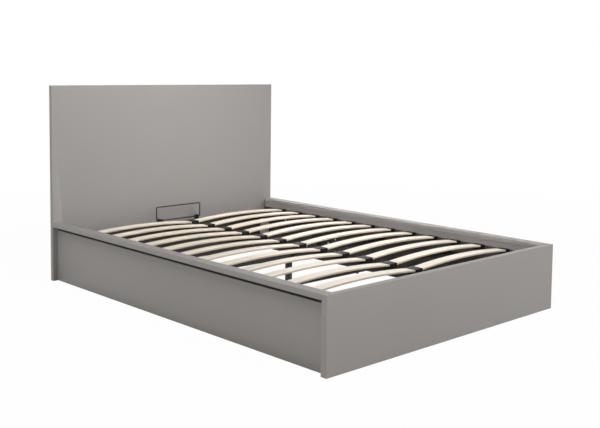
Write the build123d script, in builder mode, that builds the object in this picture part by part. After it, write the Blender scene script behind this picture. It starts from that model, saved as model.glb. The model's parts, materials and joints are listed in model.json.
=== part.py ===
"""Double ottoman bed: a painted board surround, and a sprung slat frame that lifts at the foot.

Axes: X across the bed, Y from the foot (-Y) to the headboard (+Y), Z up from the floor.
Origin: on the floor, in the middle of the bed's outline. Millimetres.
"""
from build123d import *
from math import atan2, cos, hypot, sin, sqrt
import os

# Surround: painted boards
bed_width = 1450
inner_length = 1910
headboard_height = 980
headboard_thickness = 25
foot_height = 295
foot_thickness = 30
cap_width = 50
cap_thickness = 22
panel_recess = 27
panel_thickness = 18
shadow_gap = 19
strip_thickness = 12
board_edge = 1.2

# Lifting frame: welded square tube, with its head and foot ends inside the surround
slat_rows = 12
foot_end_gap = 44
head_end_gap = 44
frame_top = 230
tube_size = 30
tube_wall = 1.5
tube_corner = 1.5
cross_bar_size = 20
cross_bar_wall = 1.5
cross_bar_rows = {"foot": 3.3, "middle": 6.34, "head": 9.38}
plug_flange = 2
plug_depth = 14

# Sprung slats and their plastic caps
slat_width = 53
slat_thickness = 8
slat_rise = 16.5
cap_floor = 11.7
cap_wall = 2.5
cap_play = 0.3
side_cap_length = 33
side_cap_setback = 2
centre_web = 8
centre_cap_mouth = 23
peg_size = 7
peg_length = 6
peg_play = 0.2

# Middle leg
leg_size = 25
leg_wall = 1.5
leg_corner = 1.5
glide_height = 8
glide_lip = 3
glide_spigot = 14

# Mattress retaining bar at the head end
wire_radius = 3.5
wire_flats = 8
bar_width = 296
bar_top = 327
bar_bottom = 250
bar_bend = 8
clamp_spacing = 252
clamp_width = 16
clamp_front = 9
clamp_back = 15
clamp_cover = 4
sleeve_spacing = 220
sleeve_length = 14
sleeve_wall = 3
wire_play = 0.05

# Lift strap on the foot tube
strap_span = 220
strap_tab = 40
strap_rise = 15
strap_thickness = 2.5
strap_width = 25

# Fasteners
panel_bolt_radius = 3
panel_bolt_head = 6
panel_bolt_head_height = 3
panel_bolt_grip = 12
frame_bolt_radius = 4
frame_bolt_head = 7
frame_bolt_head_height = 5.5
nut_across = 13
nut_height = 7
bolt_projection = 14
strap_bolt_radius = 2.5
strap_bolt_head = 5
strap_bolt_head_height = 2.5
strap_bolt_length = 12
bolt_play = 0.25
bolt_flats = 6
nut_flats = 6

# Corner brackets and foot rests
bracket_leg = 38
bracket_thickness = 3
bracket_height = 150
bracket_low = 22
bracket_bolt_inset = 22
rest_ahead_of_foot = 130
rest_width = 36
rest_reach = 46
rest_thickness = 3
rest_upright = 56
buffer_radius = 9
buffer_height = 3

# Lift mechanism: layers across X, counted inwards from the side panel
base_plate = 3
outer_gap = 4
link_plate = 4
inner_gap = 2
upper_plate = 4

# Lift mechanism: pivots, seen from the side
short_pin_from_frame_end = 161.5
long_base_height = 100
short_base_ahead = 138
short_base_height = 97
long_pin_ahead = 280
pin_below_top = 40
pin_spacing = 72
link_half_width = 12
pin_radius = 5
pin_flats = 12
pin_play = 0.05
pin_head_radius = 8
pin_head = 1.2
side_play = 0.3
open_pin_play = 5.1
open_pin_head = 7
upper_boss = 15
upper_overhang = 26
upper_corner = 8
base_boss = 16
base_bolt_boss = 12
base_bolt_high = 130
base_bolt_low = 56
base_bolt_reach = 46

# Gas strut
strut_base_ahead = 42
strut_base_height = 40
strut_on_link = 170
stud_radius = 4
stud_clip = 1.5
stud_clip_radius = 6.5
strut_inset = 13
eye_width = 12
cylinder_radius = 9
cylinder_length = 112
cylinder_neck = 13
cylinder_end = 3
rod_radius = 4
rod_inside = 66
rod_eye_play = 3.4
rod_eye_wall = 3.6
bore_play = 0.05
body_play = 0.3
overrun = 5

# Worked out: surround
half_width = bed_width / 2
bed_length = foot_thickness + inner_length + headboard_thickness
foot_face = -bed_length / 2
foot_inside = foot_face + foot_thickness
head_inside = foot_inside + inner_length
cap_under = foot_height - cap_thickness
panel_top = cap_under - shadow_gap
panel_outside = half_width - panel_recess
panel_inside = panel_outside - panel_thickness

# Worked out: lifting frame
mechanism_depth = base_plate + outer_gap + link_plate + inner_gap + upper_plate
frame_half = panel_inside - mechanism_depth
tube_x = frame_half - tube_size / 2
frame_foot = foot_inside + foot_end_gap
frame_head = head_inside - head_end_gap
frame_length = frame_head - frame_foot
slat_pitch = frame_length / (slat_rows + 1)
slat_y = [frame_foot + slat_pitch * (row + 1) for row in range(slat_rows)]
tube_under = frame_top - tube_size
bar_under = tube_under - cross_bar_size
cross_bar_y = {name: frame_foot + slat_pitch * row for name, row in cross_bar_rows.items()}
leg_y = cross_bar_y["middle"] + (cross_bar_size + leg_size) / 2

# Worked out: slats. Both arcs share their ends' x; cap_play is the room round a slat in its cap.
slat_inner = centre_web / 2 + cap_play
side_cap_back = frame_half - side_cap_setback
side_cap_mouth = side_cap_back - side_cap_length
slat_outer = side_cap_back - cap_wall - cap_play
slat_middle = (slat_inner + slat_outer) / 2
slat_half_span = (slat_outer - slat_inner) / 2
slat_radius = (slat_half_span**2 + slat_rise**2) / (2 * slat_rise)
slat_seat = frame_top + cap_floor + cap_play

# Worked out: mechanism, from the side, as (y, z)
pin_height = frame_top - pin_below_top
short_pin = (frame_head - short_pin_from_frame_end, pin_height)
long_pin = (short_pin[0] - pin_spacing, pin_height)
long_base = (long_pin[0] - long_pin_ahead, long_base_height)
short_base = (long_base[0] + short_base_ahead, short_base_height)
strut_base = (long_base[0] + strut_base_ahead, strut_base_height)
long_link_length = hypot(long_pin[0] - long_base[0], long_pin[1] - long_base[1])
strut_share = strut_on_link / long_link_length
strut_pin = (
    long_base[0] + (long_pin[0] - long_base[0]) * strut_share,
    long_base[1] + (long_pin[1] - long_base[1]) * strut_share,
)
strut_length = hypot(strut_pin[0] - strut_base[0], strut_pin[1] - strut_base[1])
strut_angle = atan2(strut_pin[1] - strut_base[1], strut_pin[0] - strut_base[0])
plate_x = panel_inside - base_plate
link_outer_x = plate_x - outer_gap
link_inner_x = link_outer_x - link_plate
upper_outer_x = link_inner_x - inner_gap
strut_x = frame_half - strut_inset

os.makedirs("parts", exist_ok=True)
sides = {"left": -1, "right": 1}


def finish(builder, name):
    """Label one finished piece and write it."""
    builder.part.label = name
    export_step(builder.part, f"parts/{name}.step")


def slat_under(x):
    """Height of a slat's underside at a distance x from the bed's middle line."""
    drop = slat_radius - sqrt(slat_radius**2 - (abs(x) - slat_middle) ** 2)
    return slat_seat + slat_rise - drop


def facing(point, direction):
    """Place objects at a point, with their own Z along a direction."""
    return Locations(Plane(origin=point, z_dir=direction))


def peg_along(point, direction, radius, length, mode=Mode.ADD):
    """A round bar, or with Mode.SUBTRACT a round hole, from a point along a direction."""
    with facing(point, direction):
        Cylinder(radius, length, align=(Align.CENTER, Align.CENTER, Align.MIN), mode=mode)


def bolt_along(point, direction, radius, length, mode=Mode.ADD, flats=bolt_flats):
    """A bolt's head or shank, or its hole. Bolts and pins are many, so they have a few flats."""
    with BuildSketch(Plane(origin=point, z_dir=direction)) as section:
        RegularPolygon(radius, flats)
    extrude(section.sketch, amount=length, mode=mode)


def block(x_range, y_range, z_range, mode=Mode.ADD):
    """A rectangular block between two values on each axis."""
    spans = [sorted(pair) for pair in (x_range, y_range, z_range)]
    middle = tuple((low + high) / 2 for low, high in spans)
    with Locations(middle):
        Box(*(high - low for low, high in spans), mode=mode)


def square_tube(start, direction, across, length, size, wall, corner):
    """One length of square tube from a point along a direction, with its corners eased."""
    with BuildPart() as tube:
        with BuildSketch(Plane(origin=start, x_dir=across, z_dir=direction)) as section:
            Rectangle(size, size)
            chamfer(section.vertices(), corner)
            Rectangle(size - 2 * wall, size - 2 * wall, mode=Mode.SUBTRACT)
        extrude(amount=length)
    return tube.part


def side_plate(bosses, x_from, x_to):
    """A flat plate in a side plane: the taut outline round bosses, given as (y, z) and radius."""
    with BuildPart() as plate:
        with BuildSketch(Plane.YZ.offset(min(x_from, x_to))):
            for point, radius in bosses:
                with Locations(point):
                    Circle(radius)
            make_hull()
        extrude(amount=abs(x_to - x_from))
    return plate.part


def cross_pin(x_from, x_to, centre, radius, mode=Mode.ADD, flats=pin_flats):
    """A pin, or the hole that holds it fast, across the bed at a (y, z) point."""
    low, high = sorted((x_from, x_to))
    bolt_along((low, *centre), (1, 0, 0), radius, high - low, mode, flats)


def pivot_hole(x_from, x_to, centre, radius):
    """The round hole of a piece that turns on a pin, between two x values at a (y, z) point."""
    low, high = sorted((x_from, x_to))
    peg_along((low, *centre), (1, 0, 0), radius, high - low, Mode.SUBTRACT)


# Bolts: where each head seats, which way its shank points, and what it clamps
bracket_bolt_heights = (bracket_low + bracket_bolt_inset, bracket_low + bracket_height - bracket_bolt_inset)
ends = {"foot": (foot_inside, 1), "head": (head_inside, -1)}
base_bolts = [
    (y, z)
    for y in (long_base[0] - base_bolt_reach, short_base[0] + base_bolt_reach)
    for z in (base_bolt_low, base_bolt_high)
]
rest_y = foot_inside + rest_ahead_of_foot
rest_top = tube_under - body_play - buffer_height
rest_low = rest_top - rest_upright
rest_bolts = [(rest_y + step * rest_width / 4, rest_low + rest_upright / 3) for step in (-1, 1)]


def side_bolts():
    """Points (y, z) of the bolts that enter a side panel, with what each one clamps."""
    corner = [
        ((end + inward * bracket_bolt_inset, z), bracket_thickness)
        for end, inward in ends.values()
        for z in bracket_bolt_heights
    ]
    base = [(point, base_plate) for point in base_bolts]
    rest = [(point, rest_thickness) for point in rest_bolts]
    return corner + base + rest


def end_bolts():
    """Points (x, z) of the bolts that enter the headboard or the foot panel."""
    return [
        (sign * (panel_inside - bracket_bolt_inset), z)
        for sign in sides.values()
        for z in bracket_bolt_heights
    ]


panel_bolt_hole = panel_bolt_radius + bolt_play
panel_bolt_depth = panel_bolt_grip + body_play


def end_board(y_from, y_to, height, inside, outward):
    """The headboard or the foot panel: edges eased, with blind holes for its bracket bolts."""
    with BuildPart() as board:
        block((-half_width, half_width), (y_from, y_to), (0, height))
        chamfer(board.edges().filter_by(lambda edge: edge.center().Z > 0), board_edge)
        for x, z in end_bolts():
            bolt_along((x, inside, z), (0, outward, 0), panel_bolt_hole, panel_bolt_depth, Mode.SUBTRACT)
    return board


# Painted boards of the surround
headboard_panel = end_board(head_inside, head_inside + headboard_thickness, headboard_height, head_inside, 1)
finish(headboard_panel, "headboard_panel")

foot_panel = end_board(foot_face, foot_inside, foot_height, foot_inside, -1)
finish(foot_panel, "foot_panel")

for side, sign in sides.items():
    inner_span = (foot_inside, head_inside)

    with BuildPart() as side_panel:
        block((sign * panel_inside, sign * panel_outside), inner_span, (0, panel_top))
        for (y, z), clamped in side_bolts():
            start = (sign * panel_inside, y, z)
            bolt_along(start, (sign, 0, 0), panel_bolt_hole, panel_bolt_depth, Mode.SUBTRACT)
    finish(side_panel, f"side_panel_{side}")

    with BuildPart() as shadow_strip:
        strip_span = (sign * panel_inside, sign * (panel_inside + strip_thickness))
        block(strip_span, inner_span, (panel_top, cap_under))
    finish(shadow_strip, f"shadow_strip_{side}")

    with BuildPart() as cap_rail:
        block((sign * (half_width - cap_width), sign * half_width), inner_span, (cap_under, foot_height))
        chamfer(cap_rail.edges().filter_by(Axis.Y), board_edge)
    finish(cap_rail, f"cap_rail_{side}")

# Steel angles in the four corners, and the bolts that hold everything to the boards
with BuildPart() as corner_brackets:
    bracket_span = (bracket_low, bracket_low + bracket_height)
    for sign in sides.values():
        for end, inward in ends.values():
            x_leg = (sign * panel_inside, sign * (panel_inside - bracket_leg))
            x_flat = (sign * panel_inside, sign * (panel_inside - bracket_thickness))
            y_leg = (end, end + inward * bracket_leg)
            y_flat = (end, end + inward * bracket_thickness)
            block(x_flat, y_leg, bracket_span)
            block(x_leg, y_flat, bracket_span)
            for z in bracket_bolt_heights:
                side_hole = (sign * panel_inside, end + inward * bracket_bolt_inset, z)
                bolt_along(side_hole, (-sign, 0, 0), panel_bolt_hole, bracket_thickness, Mode.SUBTRACT)
                end_hole = (sign * (panel_inside - bracket_bolt_inset), end, z)
                bolt_along(end_hole, (0, inward, 0), panel_bolt_hole, bracket_thickness, Mode.SUBTRACT)
finish(corner_brackets, "corner_brackets")

with BuildPart() as panel_bolts:
    for sign in sides.values():
        for (y, z), clamped in side_bolts():
            seat = (sign * (panel_inside - clamped), y, z)
            bolt_along(seat, (sign, 0, 0), panel_bolt_radius, clamped + panel_bolt_grip)
            bolt_along(seat, (-sign, 0, 0), panel_bolt_head, panel_bolt_head_height)
    for end, inward in ends.values():
        for x, z in end_bolts():
            seat = (x, end + inward * bracket_thickness, z)
            bolt_along(seat, (0, -inward, 0), panel_bolt_radius, bracket_thickness + panel_bolt_grip)
            bolt_along(seat, (0, inward, 0), panel_bolt_head, panel_bolt_head_height)
finish(panel_bolts, "panel_bolts")

# Angles near the foot that the lifting frame rests on, through a rubber buffer
for side, sign in sides.items():
    with BuildPart() as rest_bracket:
        rest_span = (rest_y - rest_width / 2, rest_y + rest_width / 2)
        block((sign * panel_inside, sign * (panel_inside - rest_thickness)), rest_span, (rest_low, rest_top))
        shelf = (sign * panel_inside, sign * (panel_inside - rest_reach))
        block(shelf, rest_span, (rest_top - rest_thickness, rest_top))
        for y, z in rest_bolts:
            start = (sign * panel_inside, y, z)
            bolt_along(start, (-sign, 0, 0), panel_bolt_hole, rest_thickness, Mode.SUBTRACT)
    finish(rest_bracket, f"rest_bracket_{side}")

with BuildPart() as rest_buffers:
    for sign in sides.values():
        seat = (sign * tube_x, rest_y, rest_top)
        bolt_along(seat, (0, 0, 1), buffer_radius, buffer_height, flats=pin_flats)
finish(rest_buffers, "rest_buffers")

# Lift mechanism, fixed half: a plate on each side panel, with its pivot pins
for side, sign in sides.items():
    with BuildPart() as base_plate_part:
        bosses = [(point, base_boss) for point in (long_base, short_base, strut_base)]
        bosses += [(point, base_bolt_boss) for point in base_bolts]
        add(side_plate(bosses, sign * plate_x, sign * panel_inside))
        for centre in (long_base, short_base):
            cross_pin(sign * plate_x, sign * panel_inside, centre, pin_radius + pin_play, Mode.SUBTRACT)
        cross_pin(sign * plate_x, sign * panel_inside, strut_base, stud_radius + pin_play, Mode.SUBTRACT)
        for y, z in base_bolts:
            start = (sign * panel_inside, y, z)
            bolt_along(start, (-sign, 0, 0), panel_bolt_hole, base_plate, Mode.SUBTRACT)
    finish(base_plate_part, f"base_plate_{side}")

stud_end = strut_x - eye_width / 2 - side_play
with BuildPart() as base_pivot_pins:
    for sign in sides.values():
        for centre in (long_base, short_base):
            head_x = link_inner_x - side_play
            cross_pin(sign * panel_inside, sign * (head_x - pin_head), centre, pin_radius)
            cross_pin(sign * head_x, sign * (head_x - pin_head), centre, pin_head_radius)
        cross_pin(sign * panel_inside, sign * (stud_end - stud_clip), strut_base, stud_radius)
        cross_pin(sign * stud_end, sign * (stud_end - stud_clip), strut_base, stud_clip_radius)
finish(base_pivot_pins, "base_pivot_pins")

# Lift mechanism, moving links. Each long link carries the strut's stud. Each short link carries
# the pin of the one loose pivot, which has play in the upper bracket's large hole.
for side, sign in sides.items():
    with BuildPart() as long_link:
        bosses = [(point, link_half_width) for point in (long_base, long_pin)]
        add(side_plate(bosses, sign * link_inner_x, sign * link_outer_x))
        for centre in (long_base, long_pin):
            pivot_hole(sign * link_inner_x, sign * link_outer_x, centre, pin_radius + pin_play)
        cross_pin(sign * link_outer_x, sign * (stud_end - stud_clip), strut_pin, stud_radius)
        cross_pin(sign * stud_end, sign * (stud_end - stud_clip), strut_pin, stud_clip_radius)
    finish(long_link, f"long_link_{side}")

    with BuildPart() as short_link:
        bosses = [(point, link_half_width) for point in (short_base, short_pin)]
        add(side_plate(bosses, sign * link_inner_x, sign * link_outer_x))
        pivot_hole(sign * link_inner_x, sign * link_outer_x, short_base, pin_radius + pin_play)
        head_x = frame_half - side_play
        cross_pin(sign * link_outer_x, sign * (head_x - pin_head), short_pin, pin_radius)
        cross_pin(sign * head_x, sign * (head_x - pin_head), short_pin, open_pin_head)
    finish(short_link, f"short_link_{side}")

# Lift mechanism, frame half: a bracket on each side tube, with the long link's pin
upper_low = tube_under + upper_corner
upper_high = frame_top - upper_corner
upper_corners = [
    (y, z)
    for y in (long_pin[0] - upper_overhang, short_pin[0] + upper_overhang)
    for z in (upper_low, upper_high)
]
upper_bolts = [(y, (tube_under + frame_top) / 2) for y in (upper_corners[0][0], upper_corners[-1][0])]
frame_bolt_hole = frame_bolt_radius + bolt_play
for side, sign in sides.items():
    with BuildPart() as upper_bracket:
        bosses = [(point, upper_boss) for point in (long_pin, short_pin)]
        bosses += [(point, upper_corner) for point in upper_corners]
        add(side_plate(bosses, sign * frame_half, sign * upper_outer_x))
        plate_x_span = (sign * frame_half, sign * upper_outer_x)
        cross_pin(*plate_x_span, long_pin, pin_radius + pin_play, Mode.SUBTRACT)
        pivot_hole(*plate_x_span, short_pin, pin_radius + open_pin_play)
        for y, z in upper_bolts:
            start = (sign * frame_half, y, z)
            bolt_along(start, (sign, 0, 0), frame_bolt_hole, upper_plate, Mode.SUBTRACT)
    finish(upper_bracket, f"upper_bracket_{side}")

with BuildPart() as frame_pivot_pins:
    for sign in sides.values():
        inner_head = (sign * (frame_half - pin_head), sign * frame_half)
        collar = (sign * upper_outer_x, sign * (link_inner_x - side_play))
        outer_head_x = link_outer_x + side_play
        cross_pin(inner_head[0], sign * (outer_head_x + pin_head), long_pin, pin_radius)
        cross_pin(*inner_head, long_pin, pin_head_radius)
        cross_pin(*collar, long_pin, pin_head_radius)
        cross_pin(sign * outer_head_x, sign * (outer_head_x + pin_head), long_pin, pin_head_radius)
finish(frame_pivot_pins, "frame_pivot_pins")

# Gas struts, lying along the line from the base plate's stud to the long link's stud
strut_direction = (0, cos(strut_angle), sin(strut_angle))


def along_strut(sign, distance):
    """The point at a distance from the strut's lower stud, on its middle line."""
    y, z = strut_base
    return (sign * strut_x, y + distance * strut_direction[1], z + distance * strut_direction[2])


def strut_eye(sign, centre, bore, wall):
    """The ring at one end of a strut: its outside only, so that the bore is cut last."""
    cross_pin(sign * (strut_x - eye_width / 2), sign * (strut_x + eye_width / 2), centre, bore + wall)


def strut_bore(sign, centre, bore):
    """The round hole through a strut's ring."""
    x_from = sign * (strut_x - eye_width / 2 - overrun)
    x_to = sign * (strut_x + eye_width / 2 + overrun)
    pivot_hole(x_from, x_to, centre, bore)


cylinder_mouth = cylinder_neck + cylinder_length
for side, sign in sides.items():
    with BuildPart() as strut_cylinder:
        base_eye_bore = stud_radius + pin_play
        peg_along(along_strut(sign, cylinder_neck), strut_direction, cylinder_radius, cylinder_length)
        chamfer(strut_cylinder.edges().filter_by(GeomType.CIRCLE), cylinder_end)
        strut_eye(sign, strut_base, base_eye_bore, rod_eye_wall)
        neck_radius = rod_radius + rod_eye_wall / 2
        neck_length = cylinder_mouth / 2
        bolt_along(along_strut(sign, 0), strut_direction, neck_radius, neck_length, flats=pin_flats)
        strut_bore(sign, strut_base, base_eye_bore)
        bore_depth = rod_inside + cylinder_end
        bore_start = along_strut(sign, cylinder_mouth - bore_depth)
        peg_along(bore_start, strut_direction, rod_radius + bore_play, bore_depth, Mode.SUBTRACT)
    finish(strut_cylinder, f"strut_cylinder_{side}")

    with BuildPart() as strut_rod:
        rod_start = cylinder_mouth - rod_inside
        peg_along(along_strut(sign, rod_start), strut_direction, rod_radius, strut_length - rod_start)
        rod_bore = stud_radius + rod_eye_play
        strut_eye(sign, strut_pin, rod_bore, rod_eye_wall)
        strut_bore(sign, strut_pin, rod_bore)
    finish(strut_rod, f"strut_rod_{side}")

# Lifting frame: side tubes, end tubes, centre beam and cross bars
row_planes = [Plane(origin=(0, y, 0), x_dir=(1, 0, 0), z_dir=(0, -1, 0)) for y in slat_y]
tube_middle = frame_top - tube_size / 2
tube_section = (tube_size, tube_wall, tube_corner)


def pegs(x, half_size, z_range, mode):
    """Square pegs under the slat caps on one tube, or the holes for them in its top wall."""
    for y in slat_y:
        block((x - half_size, x + half_size), (y - half_size, y + half_size), z_range, mode)


def peg_holes(x):
    """The square holes for the pegs, cut through a tube's top wall."""
    pegs(x, peg_size / 2 + peg_play, (frame_top - 2 * tube_wall, frame_top + overrun), Mode.SUBTRACT)


def bolt_hole_down(x, y):
    """A hole right through the frame and a cross bar, from above."""
    depth = frame_top - bar_under + 2 * overrun
    bolt_along((x, y, frame_top + overrun), (0, 0, -1), frame_bolt_hole, depth, Mode.SUBTRACT)


for side, sign in sides.items():
    with BuildPart() as side_tube:
        start = (sign * tube_x, frame_foot, tube_middle)
        add(square_tube(start, (0, 1, 0), (1, 0, 0), frame_length, *tube_section))
        peg_holes(sign * tube_x)
        for y in cross_bar_y.values():
            bolt_hole_down(sign * tube_x, y)
        for y, z in upper_bolts:
            start = (sign * (frame_half + overrun), y, z)
            bolt_along(start, (-sign, 0, 0), frame_bolt_hole, tube_size + 2 * overrun, Mode.SUBTRACT)
    finish(side_tube, f"side_tube_{side}")

end_tube_half = tube_x - tube_size / 2
strap_bolt_x = (strap_span + strap_tab) / 2
bar_y = frame_head - tube_size / 2
strap_y = frame_foot + tube_size / 2
clamp_bolt_y = bar_y + (clamp_back + wire_radius) / 2
clamp_bolts = [(step * clamp_spacing / 2, clamp_bolt_y) for step in (-1, 1)]
strap_bolts = [(step * strap_bolt_x, strap_y) for step in (-1, 1)]
end_tubes = {"head_tube": (bar_y, clamp_bolts), "foot_tube": (strap_y, strap_bolts)}
for name, (y, small_bolts) in end_tubes.items():
    with BuildPart() as end_tube:
        start = (-end_tube_half, y, tube_middle)
        add(square_tube(start, (1, 0, 0), (0, 1, 0), 2 * end_tube_half, *tube_section))
        for bolt_x, bolt_y in small_bolts:
            top = (bolt_x, bolt_y, frame_top + overrun)
            depth = overrun + 2 * tube_wall
            bolt_along(top, (0, 0, -1), strap_bolt_radius + bolt_play, depth, Mode.SUBTRACT)
    finish(end_tube, name)

with BuildPart() as centre_beam:
    beam_length = frame_length - 2 * tube_size
    start = (0, frame_foot + tube_size, tube_middle)
    add(square_tube(start, (0, 1, 0), (1, 0, 0), beam_length, *tube_section))
    peg_holes(0)
    for name in ("foot", "head"):
        bolt_hole_down(0, cross_bar_y[name])
finish(centre_beam, "centre_beam")

for name, y in cross_bar_y.items():
    with BuildPart() as cross_bar:
        start = (-frame_half, y, (tube_under + bar_under) / 2)
        section = (cross_bar_size, cross_bar_wall, tube_corner)
        add(square_tube(start, (1, 0, 0), (0, 1, 0), 2 * frame_half, *section))
        for sign in sides.values():
            bolt_hole_down(sign * tube_x, y)
        if name == "middle":
            start = (0, y - cross_bar_size / 2 - overrun, (tube_under + bar_under) / 2)
            depth = cross_bar_size + 2 * overrun
            bolt_along(start, (0, 1, 0), frame_bolt_hole, depth, Mode.SUBTRACT)
        else:
            bolt_hole_down(0, y)
    finish(cross_bar, f"cross_bar_{name}")

with BuildPart() as tube_end_plugs:
    spigot = tube_size - 2 * tube_wall - 2 * cap_play
    for sign in sides.values():
        for end_y, outward in ((frame_foot, -1), (frame_head, 1)):
            centre = (sign * tube_x, end_y, tube_middle)
            flange = Plane(origin=centre, x_dir=(1, 0, 0), z_dir=(0, outward, 0))
            with BuildSketch(flange) as outline:
                Rectangle(tube_size, tube_size)
                chamfer(outline.vertices(), tube_corner)
            extrude(amount=plug_flange)
            with BuildSketch(flange):
                Rectangle(spigot, spigot)
            extrude(amount=-plug_depth)
finish(tube_end_plugs, "tube_end_plugs")

# Middle leg, bolted to the side of the middle cross bar
leg_bolt_height = (tube_under + bar_under) / 2
with BuildPart() as centre_leg:
    leg_length = tube_under - glide_height
    section = (leg_size, leg_wall, leg_corner)
    add(square_tube((0, leg_y, glide_height), (0, 0, 1), (1, 0, 0), leg_length, *section))
    start = (0, leg_y - leg_size / 2 - overrun, leg_bolt_height)
    bolt_along(start, (0, 1, 0), frame_bolt_hole, leg_size + 2 * overrun, Mode.SUBTRACT)
finish(centre_leg, "centre_leg")

with BuildPart() as leg_glide:
    lip_size = leg_size + 2 * glide_lip
    with BuildSketch(Plane.XY) as outline:
        with Locations((0, leg_y)):
            Rectangle(lip_size, lip_size)
        chamfer(outline.vertices(), glide_lip + leg_corner)
    extrude(amount=glide_height)
    with BuildSketch(Plane.XY.offset(glide_height)):
        with Locations((0, leg_y)):
            plug_size = leg_size - 2 * leg_wall - 2 * cap_play
            Rectangle(plug_size, plug_size)
    extrude(amount=glide_spigot)
finish(leg_glide, "leg_glide")


# Sprung slats: two bowed slats to a row, pressed into their caps at both ends
def slat_outline(plane, sign):
    """A slat seen from the foot: two arcs that share a rise."""
    with BuildSketch(plane) as outline:
        with BuildLine():
            arcs = []
            for z in (slat_seat, slat_seat + slat_thickness):
                ends_and_crown = (
                    (sign * slat_inner, z),
                    (sign * slat_middle, z + slat_rise),
                    (sign * slat_outer, z),
                )
                arcs.append(ThreePointArc(*ends_and_crown))
            Line(arcs[0] @ 0, arcs[1] @ 0)
            Line(arcs[0] @ 1, arcs[1] @ 1)
        make_face()
    return outline.sketch


for row, plane in enumerate(row_planes, start=1):
    with BuildPart() as slat_row:
        for sign in sides.values():
            extrude(slat_outline(plane, sign), amount=slat_width / 2, both=True)
    finish(slat_row, f"slat_row_{row:02d}")

# Slat caps: a floor, two cheeks and a lid round each slat's end, on a peg in the tube
cap_half_width = slat_width / 2 + cap_play + cap_wall
pocket_half_width = slat_width / 2 + cap_play


def lid_height(x):
    """Top of a cap over a slat, at a distance x from the middle line."""
    return slat_under(x) + slat_thickness + cap_play + cap_wall


def pocket_outline(x_from, x_to, sign):
    """The room for a slat's end in a cap, as points seen from the foot."""
    low = [(sign * x, slat_under(x) - cap_play) for x in (x_from, x_to)]
    high = [(sign * x, slat_under(x) + slat_thickness + cap_play) for x in (x_to, x_from)]
    return low + high


def solid_outline(planes, points, half_width_, mode=Mode.ADD):
    """A shape drawn from the foot and given its width along the bed, once for each plane."""
    with BuildSketch(*planes) as outline:
        Polygon(*points, align=None)
    extrude(outline.sketch, amount=half_width_, both=True, mode=mode)


for side, sign in sides.items():
    with BuildPart() as side_caps:
        outline = [
            (sign * side_cap_mouth, frame_top),
            (sign * side_cap_mouth, lid_height(side_cap_mouth)),
            (sign * side_cap_back, lid_height(slat_outer)),
            (sign * side_cap_back, frame_top),
        ]
        solid_outline(row_planes, outline, cap_half_width)
        pocket = pocket_outline(side_cap_mouth - overrun, slat_outer + cap_play, sign)
        solid_outline(row_planes, pocket, pocket_half_width, Mode.SUBTRACT)
        pegs(sign * tube_x, peg_size / 2, (frame_top - peg_length, frame_top), Mode.ADD)
    finish(side_caps, f"side_caps_{side}")

with BuildPart() as centre_caps:
    right_half = [
        (centre_web / 2, lid_height(slat_inner)),
        (centre_cap_mouth, lid_height(centre_cap_mouth)),
        (centre_cap_mouth, frame_top),
    ]
    left_half = [(-x, z) for x, z in reversed(right_half)]
    solid_outline(row_planes, left_half + right_half, cap_half_width)
    for sign in sides.values():
        pocket = pocket_outline(slat_inner - cap_play, centre_cap_mouth + overrun, sign)
        solid_outline(row_planes, pocket, pocket_half_width, Mode.SUBTRACT)
    pegs(0, peg_size / 2, (frame_top - peg_length, frame_top), Mode.ADD)
finish(centre_caps, "centre_caps")

# Mattress retaining bar: a closed wire loop in two clamps on the head tube, with rubber sleeves
bar_plane = Plane(origin=(0, bar_y, 0), x_dir=(1, 0, 0), z_dir=(0, -1, 0))
wire_bore = wire_radius + wire_play
with BuildPart() as retaining_bar:
    loop_half = bar_width / 2 - wire_radius
    loop_top = bar_top - wire_radius
    corners = [
        (-loop_half, bar_bottom),
        (loop_half, bar_bottom),
        (loop_half, loop_top),
        (-loop_half, loop_top),
    ]
    with BuildLine(bar_plane):
        path = FilletPolyline(*corners, radius=bar_bend, close=True)
    with BuildSketch(Plane(origin=path @ 0, z_dir=path % 0)):
        RegularPolygon(wire_radius, wire_flats)
    sweep(path=path)
finish(retaining_bar, "retaining_bar")

clamp_top = bar_bottom + wire_radius + clamp_cover
with BuildPart() as bar_clamps:
    for step in (-1, 1):
        middle = step * clamp_spacing / 2
        x_span = (middle - clamp_width / 2, middle + clamp_width / 2)
        block(x_span, (bar_y - clamp_front, bar_y + clamp_back), (frame_top, clamp_top))
        cross_pin(*x_span, (bar_y, bar_bottom), wire_bore, Mode.SUBTRACT, wire_flats)
        top = (middle, clamp_bolt_y, clamp_top)
        depth = clamp_top - frame_top
        bolt_along(top, (0, 0, -1), strap_bolt_radius + bolt_play, depth, Mode.SUBTRACT)
finish(bar_clamps, "bar_clamps")

with BuildPart() as bar_sleeves:
    for step in (-1, 1):
        middle = step * sleeve_spacing / 2
        x_span = (middle - sleeve_length / 2, middle + sleeve_length / 2)
        cross_pin(*x_span, (bar_y, bar_bottom), wire_bore + sleeve_wall)
        cross_pin(*x_span, (bar_y, bar_bottom), wire_bore, Mode.SUBTRACT, wire_flats)
finish(bar_sleeves, "bar_sleeves")

# Lift strap: a webbing handle that bows up from the foot tube
with BuildPart() as lift_strap:
    strap_plane = Plane(origin=(0, strap_y, 0), x_dir=(1, 0, 0), z_dir=(0, -1, 0))
    with BuildSketch(strap_plane):
        with BuildLine():
            tab_end = strap_span / 2 + strap_tab
            for z in (frame_top, frame_top + strap_thickness):
                Line((-tab_end, z), (-strap_span / 2, z))
                ThreePointArc((-strap_span / 2, z), (0, z + strap_rise), (strap_span / 2, z))
                Line((strap_span / 2, z), (tab_end, z))
            for step in (-1, 1):
                Line((step * tab_end, frame_top), (step * tab_end, frame_top + strap_thickness))
        make_face()
    extrude(amount=strap_width / 2, both=True)
    for step in (-1, 1):
        top = (step * strap_bolt_x, strap_y, frame_top + strap_thickness)
        bolt_along(top, (0, 0, -1), strap_bolt_radius + bolt_play, strap_thickness, Mode.SUBTRACT)
finish(lift_strap, "lift_strap")

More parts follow.
